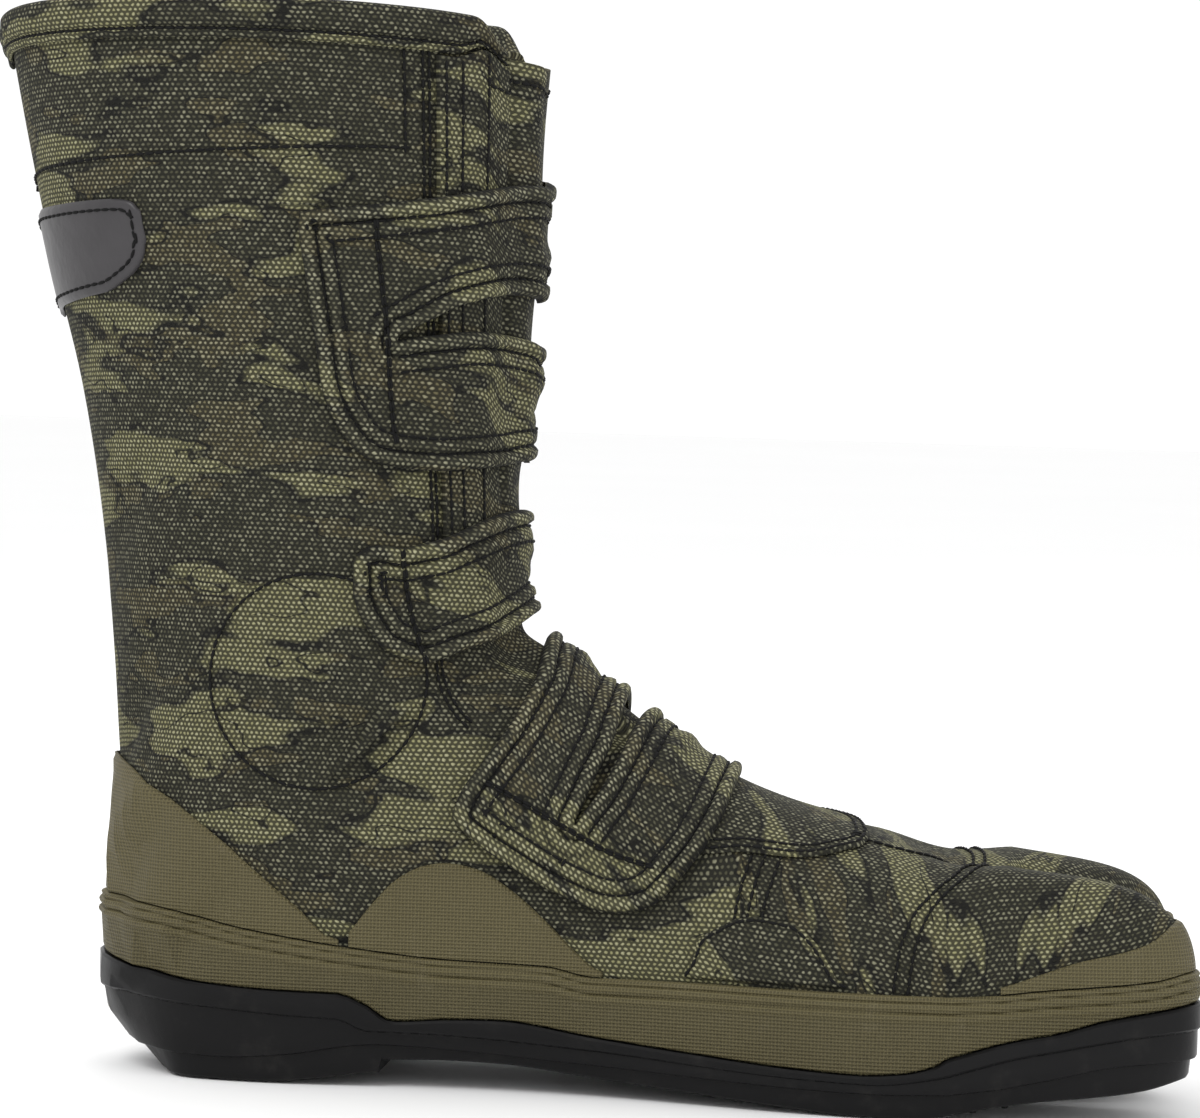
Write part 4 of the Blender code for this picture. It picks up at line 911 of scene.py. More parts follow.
def chart_at(chart, u, c):
    """The weave's place in metres on a chart of the leg, at section u and place c."""
    r, j = min(max(u * FINE, 0), rows - 1.001), min(max((c + 1) * HALF, 0), columns - 1.001)
    i, k = int(r), int(j)
    s, t = r - i, j - k
    return [(1 - s) * ((1 - t) * g[i, k] + t * g[i, k + 1]) + s * (
        (1 - t) * g[i + 1, k] + t * g[i + 1, k + 1]) for g in chart]


QUARTER_CHART = (QUARTER_U, QUARTER_V)
VAMP_CHART = (VAMP_U, VAMP_V)


def grid_faces(high, wide, keep=None):
    """Quads of a grid of points, all of them or those that keep(i, j) names."""
    return [(a, a + 1, a + wide + 1, a + wide) for i in range(high - 1) for j in range(wide - 1)
            if keep is None or keep(i, j) for a in (i * wide + j,)]


def sheet_on(name, rows_at, columns_at, place, lift, wall, finishes, keep=None,
             thickness=None, chart=QUARTER_CHART, wear_and_shade=None):
    """A sheet over the canvas from a grid of (u, c) places, with UVs in metres."""
    base, normals = [], []
    for i in range(rows_at):
        for j in range(columns_at):
            u, c = place(i, j)
            point, normal = surface_at(u, c)
            base.append(point + normal * (lift(u, c) if callable(lift) else lift))
            normals.append(normal)
    base = np.array(base)
    normals = np.array(normals)
    grid = base.reshape(rows_at, columns_at, 3)
    uvs = np.array([chart_at(chart, *place(i, j))
                    for i in range(rows_at) for j in range(columns_at)])
    thick = np.full(len(base), wall) if thickness is None else thickness(grid)
    faces = grid_faces(rows_at, columns_at, keep)
    outer = base + normals * thick[:, None]
    piece = solid(name, outer, base, faces, finishes, {"weave": uvs, "print": uvs})
    # per-point wear (above 0) and painted shade (below 0) for the canvas finish
    if wear_and_shade is not None:
        shade = piece.data.attributes.new("wear_and_shade", "FLOAT", "POINT")
        values = wear_and_shade(grid)
        shade.data.foreach_set("value", np.concatenate([values, values * 0]).astype(np.float32))
    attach(piece, "root")
    return piece, outer.reshape(rows_at, columns_at, 3), normals.reshape(rows_at, columns_at, 3)


def gusset_top(c):
    if abs(c) < GUSSET_FOLD + .005:
        return GUSSET[-1][0]
    side, w = (-1 if c < 0 else 1), 1 - abs(c)
    drop = binding_depth(w) + 2 * GAP
    top = form(COLLAR, side, w)
    return turning_point(lambda u: (top - form(u, side, w)).length > drop,
                         COLLAR - 1.0, float(COLLAR), 16)


def gusset_lift(u, c):
    crease = FOLD_DEPTH * smooth(1 - abs(abs(c) - GUSSET_FOLD) / FOLD_SPAN)
    waves = .0005 * math.sin(u * 2.4 + c * 9) * smooth(1 - abs(c) / .11)
    return bulge(u, c) - crease * smooth(u - THROAT_FOOT - .2) - GUSSET_WALL + waves


GUSSET_ROWS, GUSSET_COLUMNS = 110, 90
GUSSET_SEAMS = (2, 7, 16, 73, 82, 87)   # columns of its grid with a row of stitches
GUSSET_HEM = (-5, 18, 73)               # row of its hem, first column and end


def gusset_place(i, j):
    foot = GUSSET[0][0]
    c = -GUSSET_EDGE + 2 * GUSSET_EDGE * j / (GUSSET_COLUMNS - 1)
    return foot + (gusset_top(c) - foot) * i / (GUSSET_ROWS - 1), c


gusset_cloth = canvas("gusset canvas", CAMO, shift=.17)
gusset, gusset_grid, gusset_normals = sheet_on(
    "gusset_cloth", GUSSET_ROWS, GUSSET_COLUMNS, gusset_place, gusset_lift, GUSSET_WALL,
    [gusset_cloth])
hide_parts("gusset")
gusset_rows = [[(i, j) for i in range(GUSSET_ROWS - 1)] for j in GUSSET_SEAMS]
gusset_rows.append([(GUSSET_HEM[0], j) for j in range(*GUSSET_HEM[1:])])
sew("gusset_stitches", [[Vector(gusset_grid[s] + gusset_normals[s] * .0001) for s in row]
                        for row in gusset_rows])


# Straps
# Three hook-and-loop straps of doubled canvas, the top and the lowest cut into two fingers,
# each bound all round with a rolled tape that two rows of stitching hold.
STRAP_STEP = (.055, .045)  # beyond the gusset's edge where a strap starts to rise; its span
# place c, lower and upper edge as sections; the slot's two edges where there are fingers
STRAP_TOP = (
    (-.556, 18.00, 19.00, 17.90, 17.90), (-.550, 17.36, 19.10, 17.80, 17.80),
    (-.526, 16.88, 19.12, 17.75, 17.75), (-.472, 16.40, 19.13, 17.70, 17.70),
    (-.394, 16.08, 19.16, 17.66, 17.72), (-.280, 15.76, 19.24, 17.66, 17.98),
    (-.100, 15.48, 19.42, 17.56, 18.12), (.040, 15.50, 19.52, 17.46, 18.14),
    (.200, 15.60, 19.42, 17.48, 18.08), (.500, 15.80, 19.30, 17.52, 17.98))
STRAP_MIDDLE = (
    (-.510, 14.70, 15.20), (-.500, 14.45, 15.27), (-.480, 14.05, 15.28),
    (-.450, 13.45, 15.20), (-.394, 12.56, 14.92), (-.304, 11.04, 14.70),
    (-.172, 9.30, 14.55), (-.060, 9.05, 14.40), (.060, 9.15, 14.35), (.200, 9.90, 14.50),
    (.320, 11.20, 14.70), (.480, 12.60, 14.95))
STRAP_INSTEP = (
    (-.526, 5.95, 6.85, 6.30, 6.30), (-.518, 5.45, 7.20, 6.20, 6.20),
    (-.496, 4.96, 7.42, 6.05, 6.05), (-.460, 4.56, 7.44, 5.95, 5.95),
    (-.400, 4.25, 7.34, 5.82, 5.84), (-.310, 3.90, 7.18, 5.58, 5.72),
    (-.200, 3.68, 7.12, 5.42, 5.60), (-.060, 3.60, 7.32, 5.32, 5.60),
    (.060, 3.64, 7.40, 5.28, 5.64), (.200, 3.80, 7.34, 5.28, 5.62), (.420, 4.20, 7.26, 5.32, 5.58))


PATCH_WALL = 0.0010


def over_gusset(u, c):
    """Lift of a strap's inner face: on the canvas at its ends, on the gusset between."""
    covered = smooth((GUSSET_EDGE + STRAP_STEP[0] - abs(c)) / STRAP_STEP[1])
    return GAP + (bulge(u, c) + GAP) * covered


def over_vamp(u, c):
    return RIDGE_GAP + PATCH_WALL + GAP


ROLL = .0040               # width of the rolled edge
TAPE = .0078               # inner edge of the tape
ROLL_HEIGHT = .0030
TAPE_HEIGHT = .0022
BODY_HEIGHT = .0014
GROOVE = ROLL * 1.04       # the rows of stitches that hold the tape
TAPE_SEAM = TAPE + .0003
strap_cloth = canvas("strap canvas", CAMO, shift=.53, turn=math.radians(12))


def boundary_distance(points, outline):
    """Shortest way from each point to a polyline."""
    best = np.full(len(points), 1.0)
    for a, b in zip(outline, outline[1:]):
        run = b - a
        t = np.clip((points - a) @ run / max(run @ run, 1e-12), 0, 1)
        best = np.minimum(best, np.linalg.norm(points - a - t[:, None] * run, axis=1))
    return best


def ease(x):
    x = np.clip(x, 0, 1)
    return x * x * (3 - 2 * x)


def bound_profile(d):
    """Thickness at distance d inside a bound edge."""
    roll = ROLL_HEIGHT * np.sqrt(np.clip(1 - (1 - np.clip(d / (ROLL * .42), 0, 1)) ** 2, 0, 1))
    down = ease((d - ROLL * .62) / (ROLL * .40))
    height = roll * (1 - down) + TAPE_HEIGHT * down
    height -= .0012 * np.exp(-((d - GROOVE) / .00055) ** 2)
    inside = ease((d - TAPE + .0004) / .0006)
    height = height * (1 - inside) + BODY_HEIGHT * inside
    return np.maximum(height, .0003)


def bound_wear_and_shade(d):
    """Rubbed pale on the roll's and the tape's crests; painted shade in the grooves and at the
    edge.
    """
    crest = np.exp(-((d - ROLL * .45) / .0011) ** 2) + .7 * np.exp(-((d - .0058) / .0010) ** 2)
    # painted shade: the stitch groove, the tape's seam and the outer edge darkened as shadow
    painted_groove_shade = np.exp(-((d - GROOVE) / .00045) ** 2) + 1.1 * np.exp(-(d / .00035) ** 2)
    painted_groove_shade += .8 * np.exp(-((d - TAPE_SEAM) / .0005) ** 2)
    return crest * .8 - painted_groove_shade


def offset_path(outline, normals, distance, tree):
    """A path inside an outline by a distance, laid on a surface."""
    path = []
    count = len(outline)
    for k in range(count):
        a, b = outline[max(k - 1, 0)], outline[min(k + 1, count - 1)]
        inward = np.cross(normals[k], b - a)
        inward /= max(np.linalg.norm(inward), 1e-9)
        point = Vector(outline[k] + inward * distance)
        normal = Vector(normals[k])
        hit, _, _, _ = tree.ray_cast(point + normal * .006, -normal, .012)
        if hit is not None:
            path.append(hit + normal * .00005)
    return path


def rows_inside(outline, normals, k, toward, distance, tree, borders, margin=.80,
                spacing=.0004, split=.006):
    """Rows of stitches a distance inside an outline, on the side that toward shows at its
    point k, and clear of all borders."""
    probe = np.cross(normals[k], outline[k + 1] - outline[k - 1])
    sign = 1.0 if probe @ toward > 0 else -1.0
    path = offset_path(outline, normals, sign * distance, tree)
    places = np.array([tuple(p) for p in path])
    clear = np.min([boundary_distance(places, border) for border in borders], axis=0)
    parts = []
    for p, d in zip(path, clear):
        if d <= distance * margin:
            continue
        if not parts or (p - parts[-1][-1]).length > split:
            parts.append([p])
        elif (p - parts[-1][-1]).length > spacing:
            parts[-1].append(p)
    return [part for part in parts if len(part) > 2]


FINGER_ROWS, STRAP_COLUMNS = 34, 150   # grid of a finger, or of a strap without any


def strap_spots(table):
    """Places (u, c) of a strap's grid by row and column, the fingers one over the other."""
    first, final = table[0][0], table[-1][0]
    spots = {}
    for j in range(STRAP_COLUMNS):
        t = j / (STRAP_COLUMNS - 1)
        c = first + (final - first) * (t ** 1.9 * .55 + t ** 1.15 * .45)
        low, high, *slot = (curve([(row[0], row[k]) for row in table], c)
                            for k in range(1, len(table[0])))
        bands = ((low, high),)
        if slot:
            bands = ((low, slot[0]), (slot[1] + (.012 if slot[1] <= slot[0] else 0), high))
        for n, (bottom, top) in enumerate(bands):
            for k in range(FINGER_ROWS):
                share = .5 - .5 * math.cos(math.pi * k / (FINGER_ROWS - 1))
                spots[(n * FINGER_ROWS + k, j)] = (bottom + (top - bottom) * share, c)
    return spots


def fine_strap(name, table, lift, node, folds):
    """A strap from the table of its edges; gives the paths of its stitches and its surface."""
    fingers = len(table[0]) == 5
    per, length = FINGER_ROWS, STRAP_COLUMNS
    spots = strap_spots(table)
    total = 2 * per if fingers else per
    cut = length
    if fingers:
        opening = next(row[0] for row in table if row[4] > row[3])
        cut = next(j for j in range(length) if spots[(0, j)][1] > opening)

    def sewn(i, j):
        return not fingers or i != per - 1 or j < cut

    def wavy(u, c):
        fold = sum(depth * math.exp(-((u - u0 - slope * c) / width) ** 2)
                   * smooth((c - start) / .15) for u0, slope, width, depth, start in folds)
        return lift(u, c) + fold

    outline_spots = [(total - 1, j) for j in range(length - 1, -1, -1)]
    outline_spots += [(i, 0) for i in range(total - 1, 0, -1)]
    outline_spots += [(0, j) for j in range(length)]
    slot_spots = []
    if fingers:
        slot_spots = [(per - 1, j) for j in range(length - 1, cut - 2, -1)]
        slot_spots += [(per, j) for j in range(cut, length)]

    def edge_distance(grid):
        flat = grid.reshape(-1, 3)
        d = boundary_distance(flat, [grid[s] for s in outline_spots[::2]] + [grid[0, -1]])
        if slot_spots:
            d = np.minimum(d, boundary_distance(flat, [grid[s] for s in slot_spots]))
        return d

    # the sheet carries wear on the binding's crests and painted shade in its grooves and at its
    # edge
    piece, grid, normals = sheet_on(
        name, total, length, lambda i, j: spots[(i, j)], wavy, 0, [strap_cloth], keep=sewn,
        thickness=lambda grid: bound_profile(edge_distance(grid)),
        wear_and_shade=lambda grid: bound_wear_and_shade(edge_distance(grid)),
        chart=VAMP_CHART if node == "strap_instep" else QUARTER_CHART)
    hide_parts(node)
    flat = grid.reshape(-1, 3)
    tree = BVHTree.FromPolygons([tuple(p) for p in flat], grid_faces(total, length, sewn))
    borders = [[grid[s] for s in outline_spots[::2]]]
    middle = len(outline_spots) // 2
    # the outline runs over the top, down the tab and back, so one sign serves all of it
    edges = [(outline_spots, middle, flat.mean(0) - grid[outline_spots[middle]])]
    if slot_spots:
        borders.append([grid[s] for s in slot_spots])
        beside = (per - 1, cut + 9)
        edges.append((slot_spots, slot_spots.index(beside), grid[per - 6, cut + 9] - grid[beside]))
    paths = []
    for spots_list, k, toward in edges:
        outline, outward = ([field[s] for s in spots_list] for field in (grid, normals))
        for distance in (GROOVE, TAPE_SEAM):
            paths += rows_inside(outline, outward, k, toward, distance, tree, borders)
    # the outer end is sewn down to the quarter
    height = bound_profile(edge_distance(grid).reshape(total, length)[:, -3])
    for low, high in ((3, per - 3), (per + 3, total - 3)) if fingers else ((3, total - 3),):
        paths.append([Vector(grid[i, -3] + normals[i, -3] * (height[i] + .0002))
                      for i in range(low, high)])
    return paths, tree


# name, CAD node, edges, what lies under it, folds and the seam that boxes its tab.  A fold has
# its section on the front line, slope, width, depth and the place c where it starts.
STRAPS = (
    ("top_strap", "strap_top", STRAP_TOP, over_gusset,
     ((18.65, .5, .12, .0014, -.25), (16.9, -.6, .16, .0016, -.30), (16.4, .8, .10, -.0009, -.2)),
     ((18.95, -.428), (18.0, -.425), (17.0, -.420), (16.5, -.414))),
    ("middle_strap", "strap_middle", STRAP_MIDDLE, over_gusset,
     ((13.2, -2.0, .45, .0014, -.30), (11.4, 3.0, .35, -.0010, -.25)),
     ((14.9, -.412), (14.0, -.395), (13.0, -.378), (12.2, -.366))),
    ("instep_strap", "strap_instep", STRAP_INSTEP, over_vamp,
     ((6.6, -.8, .16, .0015, -.35), (6.1, .5, .12, -.0010, -.3), (4.6, -.7, .15, .0014, -.3)),
     ((7.1, -.43), (6.3, -.425), (5.5, -.42), (4.7, -.405))))
strap_paths = []
for label, node, table, lift, folds, box_seam in STRAPS:
    paths, strap_tree = fine_strap(label, table, lift, node, folds)
    strap_paths += paths
    for aside in (0, .0045):
        strap_paths.append(seam_line([(u, c + aside) for u, c in box_seam], strap_tree))
sew("strap_stitches", strap_paths)


# Overlays
# A rounded tongue of canvas over the vamp below the lowest strap, a half-round patch at the
# ball of the foot and a satin grey reflector at the back of the leg.
FOXING_HEIGHT = 0.0443     # top of the foxing at the heel back
FOXING_TOP = ((0.0, 1.00), (.058, .98), (.154, .88), (.245, .80), (.334, .752),
              (.425, .738), (.471, .690), (.562, .695), (.697, .697), (.784, .690),
              (.872, .747), (.960, .80), (1.0, .85))                 # FOXING_HEIGHT
# section and both ends as places c
VAMP_OVERLAY = ((1.68, -.125, -.065), (1.74, -.160, -.010), (1.92, -.196, .050),
                (2.32, -.250, .140), (2.72, -.274, .190), (3.28, -.292, .240),
                (4.30, -.340, .300))
# place c, lower and upper edge as sections
REFLECTOR = ((-.733, 18.98, 19.24), (-.742, 18.84, 19.32), (-.765, 18.70, 19.36),
             (-.810, 18.60, 19.38), (-.880, 18.60, 19.40), (-1.0, 18.62, 19.44))
# section and upper edge as a place c
BALL_PATCH = ((2.00, -.566), (2.16, -.526), (2.32, -.482), (2.64, -.444), (3.04, -.440),
              (3.36, -.448), (3.68, -.474), (3.92, -.500), (4.10, -.560))


def height_place(u, side, z):
    """The place c at which section u passes the height z on its lower part."""
    return side * (1 - turning_point(lambda w: form(u, side, w).z < z, 0.0, .8, 30))


def foxing_top(x):
    return FOXING_HEIGHT * curve(FOXING_TOP, share_of(x))


def overlay(name, node, high, wide, place, finish, lift):
    """A thin piece on the canvas, pressed down at its edge; place takes shares of its grid."""
    def thickness(grid):
        border = [*grid[0], *grid[:, -1], *grid[-1, ::-1], *grid[::-1, 0]]
        d = boundary_distance(grid.reshape(-1, 3), border)
        return np.maximum(PATCH_WALL * ease(d / .0010 + .35), .0002)

    piece, grid, normals = sheet_on(
        name, high, wide, lambda i, j: place(i / (high - 1), j / (wide - 1)), lift, 0, [finish],
        thickness=thickness, chart=VAMP_CHART)
    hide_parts(node)
    return grid, normals


def vamp_place(s, t):
    u = VAMP_OVERLAY[0][0] + (VAMP_OVERLAY[-1][0] - VAMP_OVERLAY[0][0]) * s ** 1.5
    first, last = (curve([(row[0], row[k]) for row in VAMP_OVERLAY], u) for k in (1, 2))
    return u, first + (last - first) * t


def ball_place(s, t):
    u = BALL_PATCH[0][0] + (BALL_PATCH[-1][0] - BALL_PATCH[0][0]) * s
    top = curve(BALL_PATCH, u)
    edge = form(u, -1, 1 + top)
    low = height_place(u, -1, foxing_top(edge.x) + 3 * GAP)
    return u, low + (max(top, low + .012) - low) * t


def reflector_place(s, t):
    around = 2 * t - 1
    c = -1 + (1 + REFLECTOR[0][0]) * math.copysign(abs(around) ** .8, around)
    low, high = (curve([(-row[0], row[k]) for row in REFLECTOR], 1 - abs(1 + c)) for k in (1, 2))
    return low + (high - low) * s, c


overlay_cloth = canvas("overlay canvas", CAMO, stretch=(.9, 1.2), shift=.77, turn=math.radians(50))
tape = Finish("grey reflector", .42, Specular_IOR_Level=.30)
mottle = tape.noise(tape.object(), 60.0, 4.0)
tape.paint(tape.mix(mottle, (.026, .0245, .026), (.048, .045, .048)),
           tape.bump(tape.noise(tape.object(), 240.0, 3.0), .0004, .5),
           tape.math("MULTIPLY_ADD", mottle, .25, .22))
vamp_grid, vamp_normals = overlay("vamp_tongue", "vamp_overlay", 61, 61, vamp_place,
                                  overlay_cloth, RIDGE_GAP)
ball_grid, ball_normals = overlay("ball_half_round", "ball_patch", 51, 25, ball_place,
                                  overlay_cloth, GAP)
tape_grid, tape_normals = overlay("reflector", "back_reflector", 25, 121, reflector_place,
                                  tape.material, GAP)


def inner_paths(grid, normals, distance, sides):
    """Rows of stitches inside the named sides of a sheet's grid."""
    high, wide, _ = grid.shape
    tree = BVHTree.FromPolygons([tuple(p) for p in grid.reshape(-1, 3)], grid_faces(high, wide))
    spots = []
    for name in sides:
        spots += {"right": [(i, -1) for i in range(high - 1, -1, -1)],
                  "first": [(0, j) for j in range(wide - 1, -1, -1)],
                  "left": [(i, 0) for i in range(high)],
                  "last": [(-1, j) for j in range(wide)]}[name]
    outline, outward = ([field[s] for s in spots] for field in (grid, normals))
    k = len(outline) // 2
    toward = grid.reshape(-1, 3).mean(0) - outline[k]
    return rows_inside(outline, outward, k, toward, distance, tree, [outline], .85, .0005,
                       math.inf)


sew("overlay_stitches", [
    *inner_paths(vamp_grid, vamp_normals, .0012, ("right", "first", "left")),
    *inner_paths(vamp_grid, vamp_normals, .0034, ("right", "first", "left")),
    *inner_paths(ball_grid, ball_normals, .0011, ("right",)),
    *inner_paths(tape_grid, tape_normals, .0026, ("right", "first", "left", "last"))])


# Collar binding
# A bias strip of the same canvas rolled over the raw edge of the collar, its lower edge
# turned under and topstitched.
def collar_frame(side, w):
    """Edge point, outward normal and upward direction of the canvas at the collar."""
    step = .03
    top = form(COLLAR, side, w)
    up = (top - form(COLLAR - .3, side, w)).normalized()
    if w == 0:
        span = Vector((0, 1, 0))
    else:
        span = form(COLLAR, side, min(w + step, 1)) - form(COLLAR, side, max(w - step, 0))
    normal = span.cross(up).normalized()
    if normal.x * top.x + normal.y * top.y < 0:
        normal = -normal
    return top, normal, up


COLLAR_STEPS = 110         # half way round
COLLAR_ROLL = .0060        # height of the roll over its seam


def collar_profile(depth, wrinkle):
    """The binding's section as (out, up) from the canvas's edge, and its seam's place."""
    outer, inner = GAP + BINDING_WALL, -WALL - GAP - BINDING_WALL
    roll = min(COLLAR_ROLL, depth * .7)
    middle, radius = (outer + inner) / 2, (outer - inner) / 2
    profile = [(middle + radius * math.cos(a) * 1.10,
                (GAP + BINDING_WALL) * math.sin(a) + .0002) for a in np.linspace(math.pi, 0, 13)]
    profile += [(outer + (.00085 + wrinkle) * math.sin(math.pi * t) ** .6 - .0003 * (t > .95),
                 -roll * t) for t in np.linspace(.12, 1, 8)]
    profile.append((outer - .00055, -roll - .0005))
    profile += [(outer + .0001 - .0008 * t ** 3, -roll - .0010 - (depth - roll - .0010) * t)
                for t in np.linspace(0, 1, 5)]
    profile += [(GAP, -depth), (GAP, -.001), (-WALL - GAP, -.001), (-WALL - GAP, -depth),
                (inner, -depth + .0002), (inner - .0003, -depth * .6),
                (inner - .0004, -depth * .3)]
    return profile, (outer - .0002, -roll - .0005)


def collar_roll():
    """The binding from throat to throat; gives the path of its stitches."""
    limit = 1 - THROAT_COLUMNS / COLUMNS
    path = [(-1 if k < 0 else 1, limit * abs(k) / COLLAR_STEPS)
            for k in range(-COLLAR_STEPS, COLLAR_STEPS + 1)]
    rings, places, stitch = [], [], []
    run = 0.0
    before = None
    for k, (side, w) in enumerate(path):
        top, normal, up_edge = collar_frame(side, w)
        wrinkle = .00022 * math.sin(k * 1.9) + .00015 * math.sin(k * .83)
        profile, seam = collar_profile(binding_depth(w), wrinkle)
        ring = [top + normal * n + up_edge * h for n, h in profile]
        if before is not None:
            run += (top - before).length
        before = top
        rings.append(ring)
        arc = np.cumsum([0] + [math.dist(a, b) for a, b in zip(profile, profile[1:])])
        places.append([(run, a) for a in arc])
        stitch.append(top + normal * seam[0] + up_edge * seam[1])
    size = len(rings[0])
    points = [p for ring in rings for p in ring]
    faces = [(r * size + k, r * size + (k + 1) % size, (r + 1) * size + (k + 1) % size,
              (r + 1) * size + k) for r in range(len(rings) - 1) for k in range(size)]
    faces += [tuple(range(size)), tuple(range((len(rings) - 1) * size, len(rings) * size))[::-1]]
    uvs = [places[k // size][k % size] for f in faces for k in f]
    piece = mesh_piece("collar_roll", points, faces, [canvas("binding canvas", CAMO, shift=.9)],
                       {"weave": uvs, "print": uvs}, smooth_angle=55)
    bm = bmesh.new()
    bm.from_mesh(piece.data)
    bmesh.ops.recalc_face_normals(bm, faces=bm.faces)
    bm.to_mesh(piece.data)
    bm.free()
    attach(piece, "root")
    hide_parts("collar_binding")
    return stitch


sew("collar_stitches", [collar_roll()])


# Rubber foxing and guards
# Olive-brown calendered rubber with a fine cross-hatch: a band round the foot with a ribbed
# top edge, and thin guards over heel, arch and toes, all stuck to the canvas.
CUP_HEIGHT = 0.0292        # black rim at the heel back
RIM_WALL = 0.0028
CUP_GAP = 0.0008           # rim to canvas, where both are round
FOXING_WALL = 0.0020
GUARD_WALL = 0.0013
HEEL_GUARD_HEIGHT = 0.0800
ARCH_GUARD_HEIGHT = 0.0580
TOE_GUARD_HEIGHT = 0.0490
CUP_TOP = ((0.0, 1.00), (.053, .925), (.106, .856), (.182, .815), (.235, .808),
           (.260, .72), (.285, .585), (.337, .62), (.381, .63), (.473, .525), (.566, .44),
           (.654, .377), (.707, .36), (.745, .385), (.770, .445), (.788, .55), (.813, .624),
           (.848, .712), (.881, .777), (.917, .88), (.970, .976), (1.0, 1.02))  # CUP_HEIGHT
LOBE_GUARD_DROP = .05      # small lobe's guard lower by this share
BREAST = .2741             # x share of the heel's front face
HEEL_GUARD_TOP = ((0.0, 1.0), (.036, .972), (.105, .828), (.151, .701), (.198, .565),
                  (.232, .468))                                      # HEEL_GUARD_HEIGHT
ARCH_GUARD_TOP = ((.236, .655), (.262, .797), (.2865, .921), (.3135, .986),
                  (.331, .998), (.3585, .976), (.395, .876), (.4326, .724),
                  (.4606, .60), (.478, .552))                        # ARCH_GUARD_HEIGHT
TOE_GUARD_TOP = ((.796, .65), (.828, .684), (.864, .757), (.897, .822), (.933, .868),
                 (.960, .918), (.985, 1.00), (1.0, 1.02))            # TOE_GUARD_HEIGHT

BALL_FLAT = (.706, .763)   # the forefoot stands on the ground between these
# close stations round the heel's back and the toes, for smooth rubber
SIDE_STATIONS = sorted({round(s, 5) for s in [
    *(.012 + .010 * k for k in range(22)), *(.235 + .009 * k for k in range(62)),
    .262, BREAST - .0015, BREAST + .0015, BALL_FLAT[0], BALL_FLAT[1]]}, reverse=True)
LOBE_STATIONS = [0.0] + lobe_stations(26) + [.992]


def section_at(share, side):
    """Section index whose feather end lies at this share of the length."""
    return turning_point(lambda u: form(u, side, 0.0).x > at_length(share),
                         float(ROOT), float(BACK), 40)


LOOP = [("root", 0, 0)]
LOOP += [("inner", -1, k) for k in range(1, len(LOBE_STATIONS))]
LOOP += [("tip", -1, 0)]
LOOP += [("outer", -1, k) for k in range(len(LOBE_STATIONS) - 1, -1, -1)]
LOOP += [("side", -1, k) for k in range(len(SIDE_STATIONS))]
LOOP += [("back", 0, 0)]
LOOP += [("side", 1, k) for k in range(len(SIDE_STATIONS) - 1, -1, -1)]
LOOP += [("outer", 1, k) for k in range(len(LOBE_STATIONS))]
LOOP += [("tip", 1, 0)]
LOOP += [("inner", 1, k) for k in range(len(LOBE_STATIONS) - 1, 0, -1)]


def feather_point(key, inset=0.0):
    kind, side, k = key
    if kind == "root":
        return lobe_point(-1, 0.0, 2.0, inset)
    if kind == "tip":
        return lobe_point(side, 1.0, 0.0, inset)
    if kind == "back":
        return form(BACK, -1, 0.0, inset)
    if kind == "side":
        return form(section_at(SIDE_STATIONS[k], side), side, 0.0, inset)
    return lobe_point(side, LOBE_STATIONS[k], 0.0 if kind == "outer" else 2.0, inset)


def plan_normals(points):
    """Outward normals in plan of the closed loop."""
    normals = []
    for k, point in enumerate(points):
        before, after = points[k - 1], points[(k + 1) % len(points)]
        along = Vector((after.x - before.x, after.y - before.y, 0)).normalized()
        normals.append(Vector((along.y, -along.x, 0)))
    return normals


FEATHER = [feather_point(key) for key in LOOP]
NORMALS = plan_normals(FEATHER)
PLACE = {key: k for k, key in enumerate(LOOP)}
if NORMALS[PLACE[("back", 0, 0)]].x > 0:
    NORMALS = [-n for n in NORMALS]
NORMALS[0] = Vector((1, 0, 0))


def slit_share(key):
    """1 inside the slit, fading to 0 at its mouth."""
    kind, _, k = key
    if kind == "root":
        return 1.0
    if kind != "inner":
        return 0.0
    return 1 - smooth((LOBE_STATIONS[k] - .60) / .25)


def surface_ring(height):
    """Points on the upper at height(x), one a station.  They stand out a little where a
    straight run between two stations would cut into the upper."""
    def cast(k, point, normal):
        reach = SLIT_HALF_GAP * .9 if slit_share(LOOP[k]) > 0 else .03
        start = point + normal * reach
        start.z = max(start.z, feather(point.x) + .0008)
        hit, _, _, _ = SURFACE.ray_cast(start, -normal, reach + .03)
        return Vector((hit.x, hit.y, point.z)) if hit is not None else point

    count = len(LOOP)
    heights = [height(p.x) for p in FEATHER]
    ring = [cast(k, Vector((FEATHER[k].x, FEATHER[k].y, heights[k])), NORMALS[k])
            for k in range(count)]
    extra = [0.0] * count
    for k in range(count):
        m = (k + 1) % count
        for t in (.2, .4, .6, .8):
            chord = ring[k].lerp(ring[m], t)
            normal = NORMALS[k].lerp(NORMALS[m], t).normalized()
            short = (cast(k, chord, normal) - chord).dot(normal)
            if 0 < short < .003:
                extra[k] = max(extra[k], short)
                extra[m] = max(extra[m], short)
    return [p + NORMALS[k] * extra[k] for k, p in enumerate(ring)]


def rubber_lift(key, wall):
    """Outer face of a rubber wall, thinner inside the slit."""
    inside = slit_share(key)
    return (GAP + wall) * (1 - inside) + (SLIT_HALF_GAP - SLIT_AIR) * inside


def cup_top(x):
    return CUP_HEIGHT * curve(CUP_TOP, share_of(x))


def raised(line, by=GAP):
    return lambda x: line(x) + by


def between(one, two, share):
    return lambda x: one(x) * (1 - share) + two(x) * share


